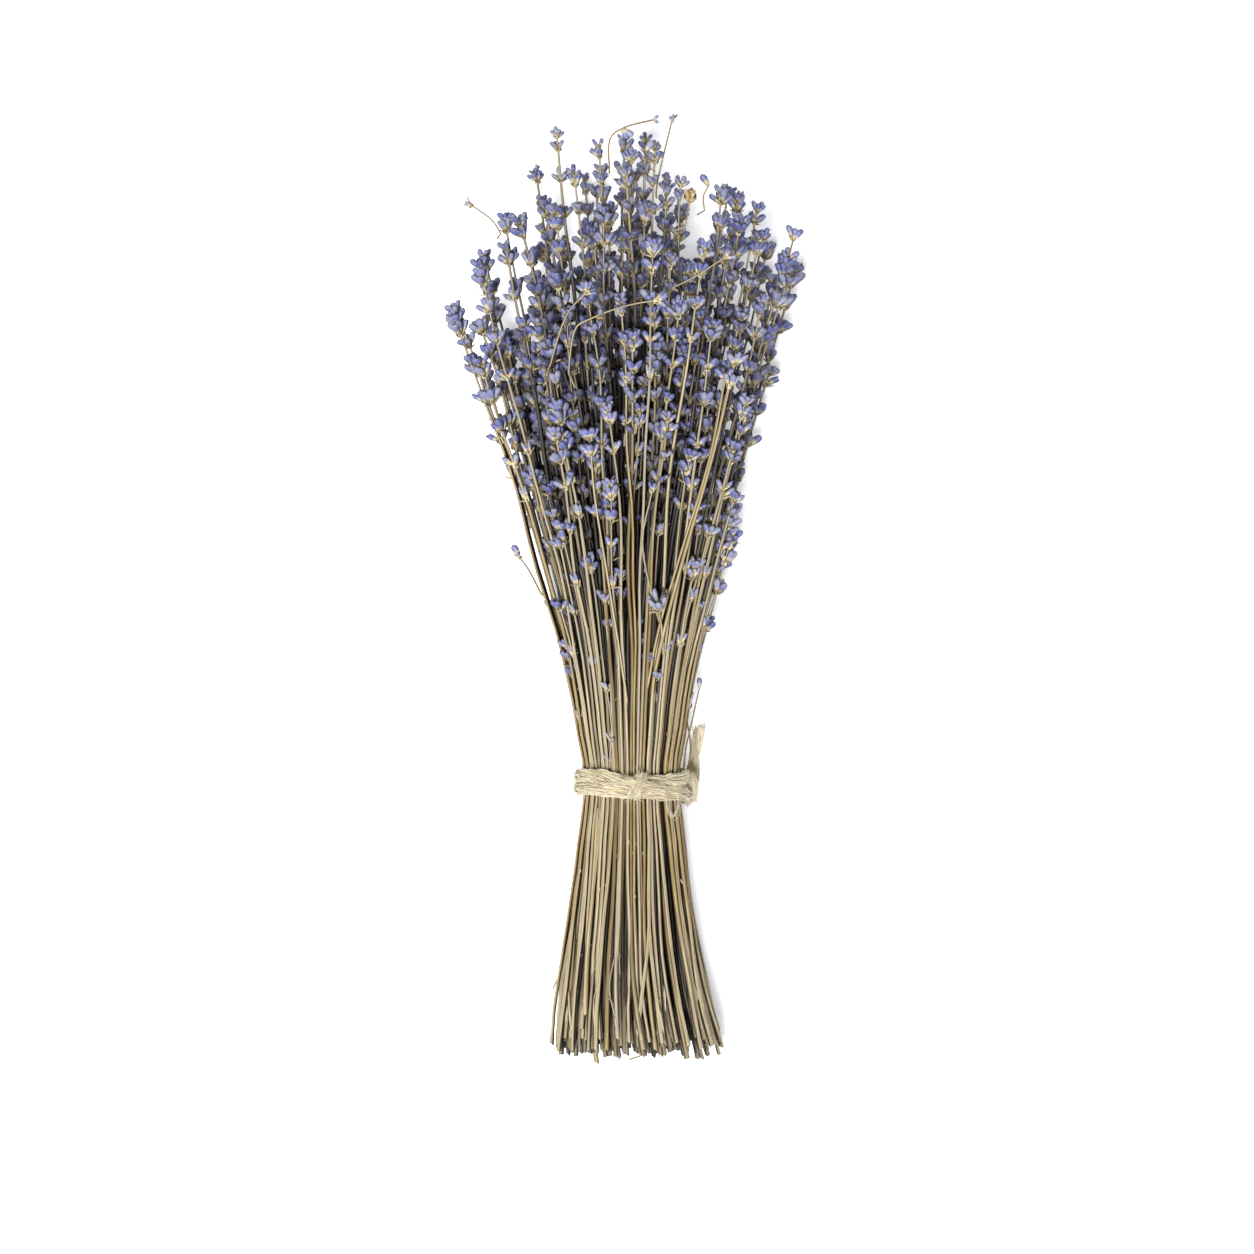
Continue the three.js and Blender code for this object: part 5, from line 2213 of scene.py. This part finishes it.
    def loose_fibres(
        self, lines: list[list[Vector]], name: str, count: int, reach: float, threads: Sequence[list[Vector]]
    ) -> Object:
        """Builds the fine fibres that stand off a strand.

        Args:
            lines: The middle lines of the strands.
            name: The object's name.
            count: How many fibres there are.
            reach: How far from the middle line they start.
            threads: The middle lines of thin threads that hang free.

        Returns:
            The object.
        """
        own = self.own
        guide = Guide()
        tone = self.thread_tone
        pale = {"thickness": self.root_thickness, "tone": tone, "start": tone * PATTERN_SPREAD}
        for thread in threads:
            aside = self.strewn(self.thread_spread, MM)
            for k, point in enumerate(thread):
                guide.add(point + aside + self.strewn(self.thread_stray, MM), k > 0, **pale)
        for _ in range(count):
            line = own.choices(lines, [len(one) for one in lines])[0]
            k = own.randrange(1, len(line))
            along = (line[k] - line[k - 1]).normalized() * own.choice((-1, 1))
            away = self.strewn(1)
            away = (away - away.dot(along) * along).normalized()
            place = line[k - 1].lerp(line[k], own.random()) + away * reach * own.uniform(0.75, 0.95)
            length = own.triangular(*self.fibre_length) * MM
            rise = own.uniform(*self.fibre_rise)
            curl = own.uniform(*self.fibre_curl)
            tone = own.random()
            look = {"tone": tone, "start": tone * PATTERN_SPREAD}
            for step in range(self.fibre_steps + 1):
                share = step / self.fibre_steps
                point = place + (along * share + away * (rise * share - curl * rise * share * share)) * length
                thickness = blend(self.root_thickness, self.tip_thickness, share)
                guide.add(point, step > 0, thickness=thickness, **look)
        values = {"Sides": 3, "Groove": 0.0, "Seed": self.seed, "Finish": self.material}
        return self.sweeps.run(guide, name, values)


# The studio.


@dataclass
class Studio:
    """A white floor, softly lit from behind too, under a key light, and a camera straight above the bunch."""

    frame_width: float = 539 * MM
    aim: Range = (-2.15 * MM, 70.3 * MM)
    aim_height: float = 40 * MM
    lens: float = 180.0
    sensor: float = 36.0
    floor_reach: float = 12.0
    floor_white: int = 0xF6F6F8
    floor_glow: float = 0.47
    key_strength: float = 4.7
    key_angle: float = math.radians(22)
    key_from: Triple = (-0.16, -0.24, 1.0)
    sky_horizon: float = 0.45
    sky_zenith: float = 0.16

    def build(self) -> None:
        """Builds the camera, the floor and the lights."""
        scene = bpy.context.scene
        scene.view_settings.view_transform = "Standard"
        scene.view_settings.look = "None"
        self.camera(scene)
        self.floor()
        self.key_light()
        self.sky(scene)
        log.info("studio: camera, floor and lights")

    def camera(self, scene: Scene) -> None:
        """Puts the camera straight above the bunch.

        Args:
            scene: The scene.
        """
        data = bpy.data.cameras.new("camera_above")
        data.lens = self.lens
        data.sensor_width = self.sensor
        data.clip_end = 100
        made = bpy.data.objects.new("camera_above", data)
        distance = self.frame_width * self.lens / self.sensor
        made.location = (*self.aim, self.aim_height + distance)
        scene.collection.objects.link(made)
        scene.camera = made

    def floor(self) -> None:
        """Lays the floor."""
        reach = self.floor_reach
        corners = [(-reach, -reach, 0), (reach, -reach, 0), (reach, reach, 0), (-reach, reach, 0)]
        mesh = bpy.data.meshes.new("studio_floor")
        mesh.from_pydata(corners, [], [(0, 1, 2, 3)])
        made = linked("studio_floor", mesh)
        paper = bpy.data.materials.new("matt_backdrop_paper")
        paper.use_nodes = True
        white = linear(self.floor_white)
        look = {"Base Color": white, "Roughness": 0.9, "Specular IOR Level": 0.1, "Emission Color": white}
        for socket, value in {**look, "Emission Strength": self.floor_glow}.items():
            paper.node_tree.nodes["Principled BSDF"].inputs[socket].default_value = value
        mesh.materials.append(paper)

    def key_light(self) -> None:
        """Hangs the key light up to the left, on the side of the cut ends."""
        data = bpy.data.lights.new("key_light", "SUN")
        data.energy = self.key_strength
        data.angle = self.key_angle
        made = bpy.data.objects.new("key_light", data)
        made.rotation_euler = Vector(self.key_from).to_track_quat("Z", "Y").to_euler()
        bpy.context.scene.collection.objects.link(made)

    def sky(self, scene: Scene) -> None:
        """Surrounds the bunch with pale light, dimmer overhead so that the gaps between stems stay dark.

        Args:
            scene: The scene.
        """
        world = bpy.data.worlds.new("studio_walls")
        scene.world = world
        world.use_nodes = True
        tree = world.node_tree
        upward = add_node(tree, "ShaderNodeTexCoord").outputs["Generated"]
        height = add_node(tree, "ShaderNodeSeparateXYZ", {"Vector": upward}).outputs["Z"]
        fall = {"From Min": 0.15, "From Max": 0.6, "To Min": self.sky_horizon, "To Max": self.sky_zenith}
        strength = add_node(tree, MAP_RANGE, {"Value": height, **fall})
        background = tree.nodes["Background"]
        background.inputs["Color"].default_value = (0.97, 0.98, 1.0, 1.0)
        tree.links.new(strength.outputs["Result"], background.inputs["Strength"])


def write_sizes() -> None:
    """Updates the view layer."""
    bpy.context.view_layer.update()


def main() -> None:
    """Builds the studio, the twine and the lavender, in that order."""
    logging.basicConfig(level=logging.INFO, format="%(name)s: %(message)s", stream=sys.stdout)
    Studio().build()
    Twine(JuteFinish()).build()
    FlowerHeads(DriedStemFinish(), LavenderCalyxFinish(), DriedBractFinish()).build()
    write_sizes()


if __name__ == "__main__":
    main()
